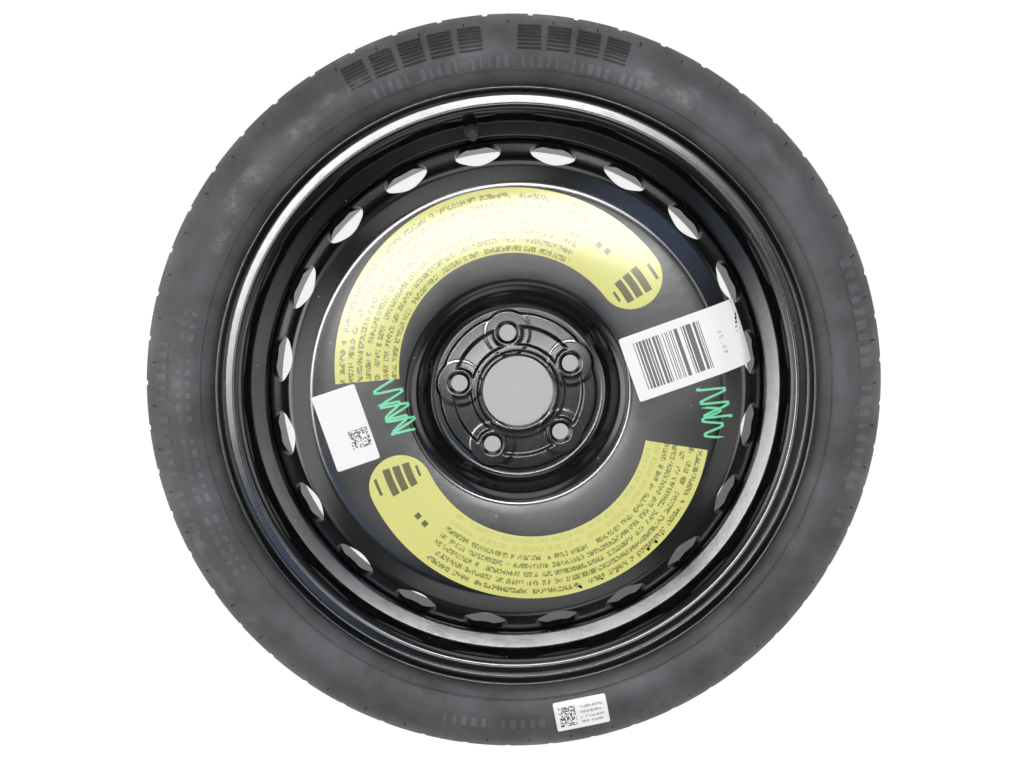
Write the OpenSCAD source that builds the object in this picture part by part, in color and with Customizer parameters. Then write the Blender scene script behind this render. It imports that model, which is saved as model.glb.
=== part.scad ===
// Space saver spare wheel: a narrow tyre on a pressed steel wheel, lying with its outer face up.
// The axis is Z, Z = 0 is the middle plane of the rim, and clock angles run clockwise from +Y.

/* [Tyre] */
// Outer diameter of the tyre at the middle of its tread
tyre_d = 682; // [676:1:690]
// Half of the tyre's section width, up to the flat that it lies on
tyre_half_w = 75; // [74.6:0.1:75.1]
// Height of the widest place of the sidewall, as a share of the section's height
widest_share = 0.44; // [0.43:0.005:0.45]
// Thickness of the sidewall
sidewall_t = 8; // [6:0.5:9]
// Thickness of the rubber under the tread, grooves included
tread_t = 12; // [10:0.5:14]
// Radius of the tread's crown in section
tread_crown_r = 568; // [450:1:800]
// Number of grooves that run round the tread
groove_count = 3; // [1:1:3]
// Distance between those grooves
groove_step = 24; // [20:1:28]
// Width of those grooves
groove_w = 6; // [3:0.5:8]
// Depth of those grooves
groove_depth = 5; // [3:0.5:7]
// Number of notches round each shoulder
notch_count = 52; // [36:1:60]
// Width of each shoulder notch
notch_w = 4.5; // [3:0.5:7]
// Depth of each shoulder notch below the crown
notch_depth = 6.5; // [5.5:0.5:8]
// Distance of the shoulder notches from the tyre's middle plane
notch_from_z = 43; // [40:0.5:46]
// Length of the thin slots between the shoulder notches
slot_len = 7; // [4:0.5:9]
// Width of the thin slots
slot_w = 1.2; // [0.8:0.1:2]
// Depth of the thin slots
slot_depth = 1.6; // [1:0.1:2.5]
// Distance of the fine centring rib from the rim's flange
rib_from_rim = 13.3; // [11:0.1:16]
// Height of the centring rib
rib_h = 0.7; // [0.4:0.1:1.2]

/* [Rim] */
// Radius of the bead seat at the flange
seat_r = 253.95; // [253.5:0.05:254.4]
// Width between the two flanges
rim_w = 114.3; // [112:0.1:116]
// Height of the flange over the bead seat
flange_h = 17.35; // [16.8:0.05:17.8]
// Width of the rolled flange
flange_lip = 12.4; // [11.5:0.1:13]
// Thickness of the rim's sheet
rim_t = 3; // [2.4:0.1:3.3]
// Taper of the bead seats
seat_taper = 5; // [4:0.5:6]
// Depth of the drop centre under the bead seat
well_depth = 16.95; // [16:0.05:19]
// Distance from the flange to the crest of the outer hump
hump_in = 20.75; // [20:0.25:21.5]
// Lean of the wall that the valve stands in
wall_lean = 21; // [18:0.5:24]
// Place of the inner end of the drop centre
well_end_z = -9; // [-12:0.5:-4]

/* [Disc] */
// Thickness of the disc's sheet
disc_t = 5; // [4:0.1:5.5]
// Distance of the mounting face from the rim's middle plane
hub_offset = 28; // [26:0.5:30]
// Radius at the foot of the hub recess
foot_r = 82; // [80:0.5:84]
// Radius at the top of the hub recess
brow_r = 96; // [94:0.5:98]
// Height of the crown's crest over the mounting face
crown_h = 39.4; // [38:0.1:41]
// Rise of the crown towards its crest
crown_rise = 4.8; // [3:0.1:6]
// Width of the chamfer outside the crown's crest
chamfer_w = 21.3; // [18:0.1:24]
// Slope of that chamfer
chamfer_slope = 12; // [8:0.5:16]
// Width of the band that holds the vents
band_w = 25.65; // [25:0.05:27]
// Slope of the band that holds the vents
vent_slope = 51.2; // [49:0.1:53]
// Lowest point of the disc's welded flange
flange_end_z = 6; // [2:0.5:10]
// Number of vents
vent_count = 20; // [12:1:22]
// Radius of each vent
vent_r = 21.1; // [16:0.1:21.5]
// Distance of the middle of each vent from the disc's outer edge
vent_in = 13.15; // [12.5:0.05:14]
// Clock angle of the first vent
vent_clock = 8.2; // [0:0.1:18]

/* [Hub] */
// Radius of the centre bore
bore_r = 33.25; // [32:0.05:35]
// Width of the raised collar round the bore
collar_w = 5; // [4:0.25:6]
// Height of the collar over the plateau
collar_h = 2.6; // [1.5:0.1:4]
// Bolt circle radius
bolt_circle_r = 56; // [54:0.5:58]
// Number of wheel bolts
bolt_count = 5; // [4:1:5]
// Radius of each bolt hole
bolt_hole_r = 7.75; // [7:0.05:8.2]
// Radius of the ball seat for a bolt's head
ball_seat_r = 14; // [13:0.5:15]
// Clock angle of the first bolt hole
bolt_clock = -10.2; // [-20:0.1:20]
// Radius of the raised plateau
plateau_r = 72.5; // [71:0.5:74]
// Height of the plateau over the ring round it
plateau_h = 3; // [2:0.25:3.5]
// Height of a bolt's ball over the plateau
ball_over = 9.6; // [9:0.1:10.5]
// Radius of the raised round at each bolt
boss_r = 20; // [18:0.5:20.5]
// Inner radius of the sunk pads between the bolts
pad_in_r = 43; // [42:0.5:45]
// Outer radius of the sunk pads between the bolts
pad_out_r = 62.5; // [60:0.5:64]

/* [Welds] */
// Number of weld runs between the disc and the rim
weld_count = 8; // [4:1:10]
// Sweep of each weld run
weld_sweep = 17; // [10:1:25]
// Leg of the weld
weld_leg = 4.5; // [3:0.25:5]

/* [Valve] */
// Clock angle of the valve
valve_clock = -10.2; // [-18:0.1:0]
// Distance of the valve hole from the hump's crest along the wall
valve_along = 9.4; // [9:0.1:9.8]
// Radius of the valve hole
valve_hole_r = 5.75; // [5.5:0.05:5.9]
// Length of the valve above the wall, without its cap
valve_len = 31; // [28:0.5:34]
// Radius of the stem's threaded end
stem_thread_r = 3.87; // [3.7:0.01:4]
// Radius of the stem inside the rubber
stem_shank_r = 3.1; // [2.9:0.1:3.4]
// Outer radius of the valve cap
cap_r = 4.9; // [4.7:0.05:5.2]
// Thickness of the cap's top
cap_top_t = 1.5; // [1:0.1:2]
// Radial clearance of the cap on its thread
cap_fit = 0.08; // [0.02:0.01:0.1]
// Number of grip flutes round the cap
flute_count = 16; // [8:1:20]
// Radius of the core's pin
pin_r = 0.55; // [0.45:0.05:0.6]
// Radial clearance of the core's pin in its plug
pin_fit = 0.08; // [0.02:0.01:0.1]
// Wire radius of the core's spring
spring_wire_r = 0.14; // [0.1:0.01:0.16]
// Turns of the core's spring
spring_turns = 6; // [4:1:7]

/* [Labels] */
// Thickness of the stuck-on films
film_t = 0.2; // [0.1:0.05:0.3]
// Inner radius of the curved stickers
sticker_in_r = 105; // [103:0.5:110]
// Outer radius of the curved stickers
sticker_out_r = 162; // [150:0.5:162]
// Sweep of the curved stickers, up to the middle of their round end
sticker_sweep = 146; // [120:1:146]

/* [Hidden] */
$fn = 96;

// Fits and small clearances
seat_gap = 0.05;
bead_gap = 0.05;
lip_gap = 0.5;
film_gap = 0.02;
tyre_film_gap = 0.12;
draft_w = 2.5;
cut = 1;
arc_step = 8;

// Small sizes of the rim's section: bead seat, humps, their offsets and their rounding
seat_w = 15.65;
hump_h = 1.3;
inner_hump_drop = 0.3;
inner_hump_out = 0.8;
ledge_drop = 0.5;
ledge_end_in = 3.6;
hump_round = 4;
crest_round = 5;
ledge_round = 9;

// Places and sizes of the stickers and labels: clock angles, middles of the curved bands, distances
// from the upper edge of the vents' band, widths along and across the radius, and small turns
upper_middle = [-4, 22];
upper_clock = -94.5;
lower_middle = [12.5, -27.5];
lower_clock = 98.7;
barcode_clock = 75.6;
barcode_in = 49.8;
barcode_size = [112, 61];
barcode_turn = 5.5;
code_clock = 259;
code_in = 48.6;
code_size = [40, 71.5];
code_turn = 7.5;
tyre_label_clock = 169;
tyre_label_size = [28, 49.5];
tyre_label_turn = 1;
label_round = 2;
tyre_label_round = 1.5;
film_reach = 10;

// Path helpers: a path is a list of [radius, height] corners, each with a rounding radius
function unit(v) = v / norm(v);
function left_of(d) = [-d.y, d.x];
function arc_pts(c, r, a0, a1, n) =
    [for (i = [0 : n]) c + r * [cos(a0 + (a1 - a0) * i / n), sin(a0 + (a1 - a0) * i / n)]];
function rounded_corner(p, d1, d2, r, s) =
    let (
        n1 = left_of(d1),
        n2 = left_of(d2),
        turn = sign(cross(d1, d2)),
        bend = acos(min(1, max(-1, d1 * d2))),
        v = p + s * (n1 + n2) / (1 + n1 * n2),
        rr = r - s * turn,
        c = v - d1 * rr * tan(bend / 2) + turn * rr * n1,
        a = atan2(-turn * n1.y, -turn * n1.x),
        n = max(2, ceil(bend / arc_step))
    )
    r == 0 ? [v] : arc_pts(c, rr, a, a + turn * bend, n);
function sheet_side(p, r, s) =
    let (last = len(p) - 1)
    [for (i = [0 : last])
        each i == 0 ? [p[0] + s * left_of(unit(p[1] - p[0]))]
            : i == last ? [p[last] + s * left_of(unit(p[last] - p[last - 1]))]
            : rounded_corner(p[i], unit(p[i] - p[i - 1]), unit(p[i + 1] - p[i]), r[i], s)];
function reversed(p) = [for (i = [len(p) - 1 : -1 : 0]) p[i]];
function flipped(p) = [for (i = [len(p) - 1 : -1 : 0]) [p[i].x, -p[i].y]];
function sheet_outline(p, r, t) = concat(sheet_side(p, r, 0), reversed(sheet_side(p, r, -t)));

module at_clock(a) { rotate([0, 0, 90 - a]) children(); }
module ring_sector(outline, from_clock, sweep) {
    rotate([0, 0, 90 - from_clock - sweep]) rotate_extrude(angle = sweep, $fn = 180) polygon(outline);
}

// Rim section
flange_z = rim_w / 2;
lip_end_z = flange_z + flange_lip;
flange_r = seat_r + flange_h;
curl_r = 9.5;
heel_r = 6.5;
hump_z = flange_z - hump_in;
seat_end_z = flange_z - seat_w;
seat_end_r = seat_r - (flange_z - seat_end_z) * tan(seat_taper);
crest_r = seat_end_r + hump_h;
well_r = seat_r - well_depth;
wall_foot_z = hump_z - (crest_r - well_r) * tan(wall_lean);
ledge_r = seat_end_r - ledge_drop;
ledge_z = well_end_z - (ledge_r - well_r);
rim_path = [
    [flange_r, lip_end_z], [flange_r, flange_z], [seat_r, flange_z], [seat_end_r, seat_end_z],
    [crest_r, hump_z], [well_r, wall_foot_z], [well_r, well_end_z], [ledge_r, ledge_z],
    [ledge_r, -hump_z + ledge_end_in], [crest_r - inner_hump_drop, -hump_z - inner_hump_out],
    [seat_end_r, -seat_end_z], [seat_r, -flange_z], [flange_r, -flange_z], [flange_r, -lip_end_z]];
rim_rounds = [0, curl_r, heel_r, hump_round, crest_round, hump_round, ledge_round, ledge_round,
    hump_round, hump_round, hump_round, heel_r, curl_r, 0];
rim_inner_r = well_r - rim_t;

// Disc section
sheet_top_z = hub_offset + disc_t;
disc_out_r = rim_inner_r - seat_gap;
band_r = disc_out_r - band_w;
crown_r = band_r - chamfer_w;
crown_z = hub_offset + crown_h;
brow_z = crown_z - (crown_r - brow_r) * tan(crown_rise);
band_z = crown_z - chamfer_w * tan(chamfer_slope);
bend_z = band_z - band_w * tan(vent_slope);
vent_at_r = disc_out_r - vent_in;
vent_z = bend_z + vent_in * tan(vent_slope);
disc_path = [
    [bore_r, sheet_top_z], [foot_r, sheet_top_z], [brow_r, brow_z], [crown_r, crown_z],
    [band_r, band_z], [disc_out_r, bend_z], [disc_out_r, flange_end_z]];
disc_rounds = [0, 6, 16, 30, 14, 7, 0];
plateau_z = sheet_top_z + plateau_h;
collar_z = plateau_z + collar_h;
seat_ball_z = plateau_z + ball_over;

// Tyre section: the sidewall is an ellipse about the widest place, from the shoulder to the bead
tread_r = tyre_d / 2;
section_h = tread_r - flange_r;
bulge_at_r = flange_r + widest_share * section_h;
bulge_z = widest_share * tyre_half_w;
flat_cut = 0.2;
bulge_r = tyre_half_w - bulge_z + flat_cut;
bulge_share = 0.605;
stretch = bulge_share * section_h / bulge_r;
shoulder_round = 12;
shoulder_fall = 2.2;
shoulder_at = (tread_r - shoulder_fall - bulge_at_r) / stretch - shoulder_round;
shoulder_turn = acos(shoulder_at / (bulge_r - shoulder_round));
shoulder_up = (bulge_r - shoulder_round) * sin(shoulder_turn);
rib_at_r = flange_r + rib_from_rim;
rib_turn = acos((rib_at_r - bulge_at_r) / (stretch * bulge_r));
rib_half_turn = 0.5;
rib_foot_turn = 1.4;
side_steps = 27;
bead_turn = 136;
inner_tread_r = tread_r - tread_t;
groove_draft = 0.8;
groove_floor_r = tread_r - groove_depth;
toe_z = seat_end_z + 2;
curl_z = flange_z + curl_r;
curl_at_r = flange_r - curl_r;
function crown_at(z) = tread_r - tread_crown_r + sqrt(tread_crown_r * tread_crown_r - z * z);
function section_place(p) = [bulge_at_r + stretch * p.x, bulge_z + p.y];
function bulge_point(a, r, top) = let (p = section_place(r * [cos(a), sin(a)])) [p.x, min(top, p.y)];
groove_places = [for (i = [0 : groove_count - 1]) (i - (groove_count - 1) / 2) * groove_step];
half_grooves = [for (z = groove_places) each z > 0
    ? [[crown_at(z - groove_w / 2), z - groove_w / 2],
       [groove_floor_r, z - groove_w / 2 + groove_draft],
       [groove_floor_r, z + groove_w / 2 - groove_draft],
       [crown_at(z + groove_w / 2), z + groove_w / 2]]
    : z == 0
    ? [[groove_floor_r, 0], [groove_floor_r, groove_w / 2 - groove_draft],
       [crown_at(groove_w / 2), groove_w / 2]]
    : []];
half_outside = concat(
    groove_count % 2 == 0 ? [[tread_r, 0]] : [],
    half_grooves,
    [for (p = arc_pts([shoulder_at, shoulder_up], shoulder_round, 0, shoulder_turn, 5)) section_place(p)],
    [for (i = [1 : side_steps])
        bulge_point(shoulder_turn + (rib_turn - rib_foot_turn - shoulder_turn) * i / side_steps,
            bulge_r, tyre_half_w)],
    [for (side = [-1, 1])
        bulge_point(rib_turn + side * rib_half_turn, bulge_r + rib_h, tyre_half_w + rib_h)],
    [for (i = [0 : 6])
        bulge_point(rib_turn + rib_foot_turn + (bead_turn - rib_turn - rib_foot_turn) * i / 6,
            bulge_r, tyre_half_w)],
    arc_pts([curl_at_r, curl_z], curl_r + lip_gap, -30, -84, 4),
    [[curl_at_r - 1, flange_z - bead_gap]],
    arc_pts([seat_r + bead_gap + heel_r, flange_z - bead_gap - heel_r], heel_r, 90, 180, 6),
    [[seat_end_r + 0.2 + bead_gap, toe_z]]);
half_inside = concat(
    [[seat_end_r + 4, toe_z - 1], [seat_r + 14, toe_z + 3]],
    [for (p = arc_pts([0, 0], bulge_r - sidewall_t, 128, 44, 10)) section_place(p)],
    [[inner_tread_r, bulge_z + shoulder_up - 7]]);
tyre_half = concat(half_outside, half_inside);
tyre_outline = concat(tyre_half, flipped(tyre_half));
notch_len = 30;
slot_turn = 57.3;
slot_place = section_place(bulge_r * [cos(slot_turn), sin(slot_turn)]);

// Valve places along its own axis, from the wall's visible face
wall_dir = [-cos(wall_lean), -sin(wall_lean)];
wall_out = [-sin(wall_lean), cos(wall_lean)];
valve_foot = [crest_r, hump_z] + valve_along * wall_dir + rim_t * wall_out;
rubber_top = valve_len - 9.5;
core_mouth_r = 2.65;
core_seat_r = 1.95;
core_seat_at = valve_len - 9;
plug_len = 4.2;
plug_top = valve_len - 0.6;
plug_foot = plug_top - plug_len;
barrel_r = 1.75;
barrel_foot = valve_len - 14;
barrel_bore_r = 1.3;
floor_t = 0.8;
collar_at = plug_foot - 1.2;
spring_foot = barrel_foot + floor_t + 0.05;
spring_top = collar_at - 0.05;
seal_t = 1;
cup_t = 1.6;
pin_head = plug_top + 0.35;
seal_foot = valve_len + 0.05;
cap_seal_t = 0.9;
cap_foot = rubber_top + 0.4;
cap_top = seal_foot + cap_seal_t + 0.05 + cap_top_t;
spring_r = barrel_bore_r - spring_wire_r - 0.06;
spring_steps = 12;
spring_sides = 6;
spring_rings = spring_turns * spring_steps;

module valve_frame() {
    at_clock(valve_clock) translate([valve_foot.x, 0, valve_foot.y]) rotate([0, -wall_lean, 0]) children();
}
module tube(r_out, r_in, z0, z1) {
    difference() {
        translate([0, 0, z0]) cylinder(r = r_out, h = z1 - z0);
        translate([0, 0, z0 - cut]) cylinder(r = r_in, h = z1 - z0 + 2 * cut);
    }
}

// Cuts of one shoulder: notches across it, and a thin slot on the sidewall between each two
module shoulder_cuts(shift) {
    for (i = [0 : notch_count - 1]) {
        at_clock((i + shift) * 360 / notch_count)
            translate([tread_r - notch_depth, -notch_w / 2, notch_from_z])
                cube([notch_depth + cut, notch_w, notch_len]);
        at_clock((i + shift + 0.5) * 360 / notch_count)
            translate([slot_place.x, 0, slot_place.y]) rotate([0, 90 - slot_turn, 0])
                translate([-slot_len / 2, -slot_w / 2, -slot_depth])
                    cube([slot_len, slot_w, slot_depth + cut]);
    }
}

// Rubber: carcass, tread grooves, shoulder cuts, beads and centring ribs, moulded as one piece
module tyre() {
    color([0.16, 0.165, 0.17]) difference() {
        rotate_extrude($fn = 180) polygon(tyre_outline);
        shoulder_cuts(0.25);
        mirror([0, 0, 1]) shoulder_cuts(-0.25);
    }
}

// Rolled steel rim: two J flanges, bead seats, humps and the drop centre, with the valve hole
module rim() {
    lip = rim_t / 2;
    color([0.06, 0.06, 0.065]) difference() {
        union() {
            rotate_extrude($fn = 180) polygon(sheet_outline(rim_path, rim_rounds, rim_t));
            for (side = [-1, 1])
                rotate_extrude($fn = 180)
                    translate([flange_r - lip, side * lip_end_z]) circle(r = lip, $fn = 32);
        }
        valve_frame() translate([0, 0, -2 * rim_t]) cylinder(r = valve_hole_r, h = 3 * rim_t);
    }
}

module bolt_places() {
    for (i = [0 : bolt_count - 1]) at_clock(bolt_clock + i * 360 / bolt_count)
        translate([bolt_circle_r, 0, 0]) children();
}

// A sunk pad between two bolts: a ring sector with drafted walls, cleared round both bolts
module pad(low_z, high_z, draft, clear_r) {
    half = 180 / bolt_count - 3;
    difference() {
        for (i = [0 : bolt_count - 1])
            ring_sector([[pad_in_r + draft, low_z], [pad_out_r - draft, low_z],
                [pad_out_r, high_z], [pad_in_r, high_z]],
                bolt_clock + (i + 0.5) * 360 / bolt_count - half, 2 * half);
        bolt_places() translate([0, 0, low_z - cut])
            cylinder(r1 = clear_r + draft, r2 = clear_r, h = high_z - low_z + 2 * cut);
    }
}

// Pressed steel disc: hub plateau, ball seats, sunk pads, recess, crown, vent band and welded flange
module disc() {
    color([0.07, 0.07, 0.075]) difference() {
        union() {
            rotate_extrude($fn = 180) polygon(sheet_outline(disc_path, disc_rounds, disc_t));
            translate([0, 0, sheet_top_z - cut])
                cylinder(r1 = plateau_r + draft_w, r2 = plateau_r, h = plateau_h + cut);
            bolt_places() translate([0, 0, sheet_top_z - cut])
                cylinder(r1 = boss_r + draft_w, r2 = boss_r, h = plateau_h + cut + 0.4);
            rotate_extrude($fn = 96) polygon(concat(
                [[bore_r - cut, plateau_z - cut], [bore_r + collar_w + 2.5, plateau_z - cut]],
                arc_pts([bore_r + collar_w + 2, plateau_z + 2], 2, 270, 180, 4),
                arc_pts([bore_r + collar_w - 1.6, collar_z - 1.6], 1.6, 0, 90, 4),
                [[bore_r - cut, collar_z]]));
        }
        translate([0, 0, hub_offset - cut])
            difference() {
                cylinder(r1 = plateau_r - draft_w + cut, r2 = plateau_r - draft_w - plateau_h,
                    h = plateau_h + cut);
                translate([0, 0, -hub_offset + cut]) pad(hub_offset - 2 * cut, sheet_top_z, 0, boss_r - 6);
                translate([0, 0, -cut]) cylinder(r = bore_r + 6, h = plateau_h + 3 * cut);
            }
        pad(sheet_top_z, plateau_z + 2 * cut, 1.6, boss_r - 7.5);
        translate([0, 0, hub_offset - cut]) cylinder(r = bore_r, h = collar_z - hub_offset + 2 * cut);
        translate([0, 0, hub_offset - cut]) cylinder(r1 = bore_r + 1.2 + cut, r2 = bore_r, h = 1.2 + cut);
        translate([0, 0, collar_z - 1]) cylinder(r1 = bore_r, r2 = bore_r + 2, h = 2);
        bolt_places() {
            translate([0, 0, hub_offset - cut]) cylinder(r = bolt_hole_r, h = plateau_h + disc_t + 3 * cut);
            translate([0, 0, seat_ball_z]) sphere(r = ball_seat_r);
        }
        for (i = [0 : vent_count - 1]) at_clock(vent_clock + i * 360 / vent_count)
            translate([vent_at_r, 0, vent_z]) rotate([0, vent_slope, 0])
                translate([0, 0, -disc_t - 6]) cylinder(r = vent_r, h = disc_t + 12);
    }
}

// Fillet weld runs between the end of the disc's flange and the rim
module weld_beads() {
    color([0.09, 0.09, 0.095])
        for (i = [0 : weld_count - 1])
            ring_sector(concat(
                [[rim_inner_r - seat_gap, flange_end_z - seat_gap]],
                arc_pts([rim_inner_r - 0.4, flange_end_z - 0.4], weld_leg, 180, 270, 5),
                [[rim_inner_r - seat_gap, flange_end_z - 0.4 - weld_leg]]),
                (i + 0.5) * 360 / weld_count - weld_sweep / 2, weld_sweep);
}

// Snap-in rubber of the valve, with a neck in the rim's hole
module valve_body() {
    neck = valve_hole_r - seat_gap;
    wall_gap = 0.15;
    color([0.12, 0.12, 0.12]) valve_frame() rotate_extrude() polygon([
        [stem_shank_r + 0.02, -10.5], [5.2, -10.5], [6.6, -8.4], [6.9, -5.4], [6.5, -rim_t - seat_gap],
        [neck, -rim_t - seat_gap], [neck, wall_gap], [5.9, wall_gap], [6.3, 1], [6.9, 3],
        [6.3, 7.5], [5.6, 12], [5.2, rubber_top - 1], [4.7, rubber_top],
        [stem_shank_r + 0.02, rubber_top]]);
}

// Brass stem: a shank in the rubber, a threaded end for the cap and a seat for the core
module valve_stem() {
    color([0.72, 0.58, 0.3]) valve_frame() rotate_extrude() polygon([
        [core_seat_r - 0.25, -9], [stem_shank_r, -9], [stem_shank_r, rubber_top + 0.05],
        [stem_thread_r - 0.5, rubber_top + 0.05], [stem_thread_r, rubber_top + 0.6],
        [stem_thread_r, valve_len - 0.5], [stem_thread_r - 0.5, valve_len], [core_mouth_r + 0.3, valve_len],
        [core_mouth_r, valve_len - 0.3], [core_mouth_r, core_seat_at + 2],
        [core_seat_r + 0.25, core_seat_at], [core_seat_r, core_seat_at - 1], [core_seat_r, 4],
        [core_seat_r - 0.25, 3]]);
}

// Threaded plug that screws the core into the stem, with two flats for its key
module core_plug() {
    color([0.75, 0.62, 0.35]) valve_frame() difference() {
        tube(core_mouth_r - 0.05, pin_r + pin_fit, plug_foot, plug_top);
        for (side = [-1, 1]) translate([side * 2.1 - 1, -4, plug_top - 1.6]) cube([2, 8, 3]);
    }
}

// Barrel that holds the spring and carries the core's seal
module core_barrel() {
    color([0.8, 0.66, 0.38]) valve_frame() rotate_extrude() polygon([
        [pin_r + pin_fit, barrel_foot], [barrel_r - 0.3, barrel_foot], [barrel_r, barrel_foot + 0.5],
        [barrel_r, core_seat_at - 0.8], [barrel_r - 0.25, core_seat_at - 0.8],
        [barrel_r - 0.25, core_seat_at + 1.6], [barrel_r, core_seat_at + 1.6],
        [barrel_r, plug_foot - 0.02], [barrel_bore_r, plug_foot - 0.02],
        [barrel_bore_r, barrel_foot + floor_t], [pin_r + pin_fit, barrel_foot + floor_t]]);
}

// Tapered ring that seals the barrel in the stem
module barrel_seal() {
    color([0.75, 0.12, 0.1]) valve_frame() rotate_extrude() polygon([
        [barrel_r - 0.23, core_seat_at - 0.75], [core_seat_r - 0.03, core_seat_at - 0.75],
        [core_seat_r + 0.1, core_seat_at - 0.2], [core_seat_r + 0.25, core_seat_at + 0.25],
        [core_seat_r + 0.36, core_seat_at + 1.5], [barrel_r - 0.23, core_seat_at + 1.5]]);
}

// Pin that opens the valve when it is pressed
module core_pin() {
    color([0.85, 0.75, 0.5]) valve_frame() {
        rotate_extrude() polygon([
            [0, barrel_foot - seal_t - cup_t - 0.6], [pin_r, barrel_foot - seal_t - cup_t - 0.4],
            [pin_r, collar_at], [barrel_bore_r - 0.1, collar_at], [barrel_bore_r - 0.1, collar_at + 0.4],
            [pin_r, collar_at + 0.6], [pin_r, pin_head - 0.3], [pin_r - 0.25, pin_head], [0, pin_head]]);
    }
}

// Cup at the foot of the pin
module core_cup() {
    color([0.8, 0.66, 0.38]) valve_frame()
        tube(barrel_r - 0.1, pin_r, barrel_foot - seal_t - cup_t, barrel_foot - seal_t);
}

// Rubber face of the cup, which closes on the barrel
module cup_seal() {
    color([0.15, 0.15, 0.15]) valve_frame()
        tube(barrel_r - 0.25, pin_r, barrel_foot - seal_t, barrel_foot - 0.02);
}

// Coil spring under the pin's collar
function spring_ring(k) =
    let (
        a = 360 * k / spring_steps,
        z = spring_foot + spring_wire_r
            + (spring_top - spring_foot - 2 * spring_wire_r) * k / spring_rings
    )
    [for (j = [0 : spring_sides - 1])
        let (b = 360 * j / spring_sides, q = spring_r + spring_wire_r * cos(b))
        [q * cos(a), q * sin(a), z + spring_wire_r * sin(b)]];
module core_spring() {
    n = spring_sides;
    pts = [for (k = [0 : spring_rings]) each spring_ring(k)];
    walls = [for (k = [0 : spring_rings - 1]) for (j = [0 : n - 1]) for (half = [0, 1])
        let (a = k * n + j, b = k * n + (j + 1) % n)
        half == 0 ? [a, a + n, b] : [b, a + n, b + n]];
    ends = [[for (j = [0 : n - 1]) j], [for (j = [n - 1 : -1 : 0]) spring_rings * n + j]];
    color([0.8, 0.8, 0.82]) valve_frame() polyhedron(points = pts, faces = concat(walls, ends));
}

// Soft washer in the cap, which closes on the stem's end
module cap_seal() {
    color([0.1, 0.1, 0.1]) valve_frame()
        tube(stem_thread_r - 0.4, 1.1, seal_foot, seal_foot + cap_seal_t);
}

// Moulded valve cap with grip flutes
module valve_cap() {
    inside_r = stem_thread_r + cap_fit;
    seal_room = cap_top - cap_top_t;
    color([0.1, 0.1, 0.105]) valve_frame() difference() {
        rotate_extrude() polygon([
            [inside_r, cap_foot], [cap_r - 0.2, cap_foot], [cap_r, cap_foot + 0.3],
            [cap_r - 0.25, cap_top - 1], [cap_r - 1, cap_top], [0, cap_top],
            [0, seal_room], [inside_r, seal_room]]);
        for (i = [0 : flute_count - 1]) rotate([0, 0, i * 360 / flute_count])
            translate([cap_r + 0.25, 0, cap_foot + 1.6]) cylinder(r = 0.55, h = cap_top, $fn = 24);
    }
}

// Films follow the front of the disc
module disc_film() {
    over = sheet_side(disc_path, disc_rounds, film_gap + film_t);
    under = sheet_side(disc_path, disc_rounds, film_gap);
    inside = [for (i = [0 : len(over) - 1]) if (over[i].x > foot_r) i];
    intersection() {
        rotate_extrude($fn = 180) polygon(concat(
            [for (i = inside) under[i]], reversed([for (i = inside) over[i]])));
        children();
    }
}

// A curved band with one square end and one round end, clockwise from its square end
module curved_sticker(centre, from_clock) {
    mid_r = (sticker_in_r + sticker_out_r) / 2;
    half_w = (sticker_out_r - sticker_in_r) / 2;
    color([0.95, 0.93, 0.5]) disc_film()
        translate([centre.x, centre.y, 0]) {
            ring_sector([[sticker_in_r, sheet_top_z], [sticker_out_r, sheet_top_z],
                [sticker_out_r, crown_z + film_reach], [sticker_in_r, crown_z + film_reach]],
                from_clock, sticker_sweep);
            at_clock(from_clock + sticker_sweep) translate([mid_r, 0, sheet_top_z])
                cylinder(r = half_w, h = crown_z + film_reach - sheet_top_z);
        }
}
module upper_sticker() { curved_sticker(upper_middle, upper_clock); }
module lower_sticker() { curved_sticker(lower_middle, lower_clock); }

// A flat label with small round corners, turned about its middle
module label_prism(size, round_r, low_z, high_z) {
    translate([0, 0, low_z]) linear_extrude(high_z - low_z) union() {
        square([size.x - 2 * round_r, size.y], center = true);
        square([size.x, size.y - 2 * round_r], center = true);
        for (x = [-1, 1]) for (y = [-1, 1])
            translate([x * (size.x / 2 - round_r), y * (size.y / 2 - round_r)]) circle(r = round_r, $fn = 24);
    }
}
module barcode_label() {
    color([0.96, 0.96, 0.95]) disc_film()
        at_clock(barcode_clock) translate([band_r - barcode_in, 0, 0]) rotate([0, 0, barcode_turn])
            label_prism(barcode_size, label_round, vent_z - film_reach, crown_z + film_reach);
}
module code_label() {
    color([0.96, 0.96, 0.95]) disc_film()
        at_clock(code_clock) translate([band_r - code_in, 0, 0]) rotate([0, 0, code_turn])
            label_prism(code_size, label_round, sheet_top_z, crown_z + film_reach);
}
module tyre_label() {
    turns = [for (i = [-6 : 6]) 90 + 4 * i];
    under = tyre_film_gap;
    over = tyre_film_gap + film_t;
    color([0.96, 0.96, 0.95]) intersection() {
        rotate_extrude($fn = 180) polygon(concat(
            [for (a = turns) bulge_point(a, bulge_r + under, tyre_half_w + under)],
            reversed([for (a = turns) bulge_point(a, bulge_r + over, tyre_half_w + over)])));
        at_clock(tyre_label_clock) translate([bulge_at_r, 0, 0]) rotate([0, 0, tyre_label_turn])
            label_prism(tyre_label_size, tyre_label_round, tyre_half_w - 2 * film_reach,
                tyre_half_w + film_reach / 2);
    }
}

tyre();
rim();
disc();
weld_beads();
valve_body();
valve_stem();
core_plug();
core_barrel();
barrel_seal();
core_pin();
core_cup();
cup_seal();
core_spring();
cap_seal();
valve_cap();
upper_sticker();
lower_sticker();
barcode_label();
code_label();
tyre_label();
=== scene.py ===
"""Space saver spare wheel: smooth sheet metal, rubber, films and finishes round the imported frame."""

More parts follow.
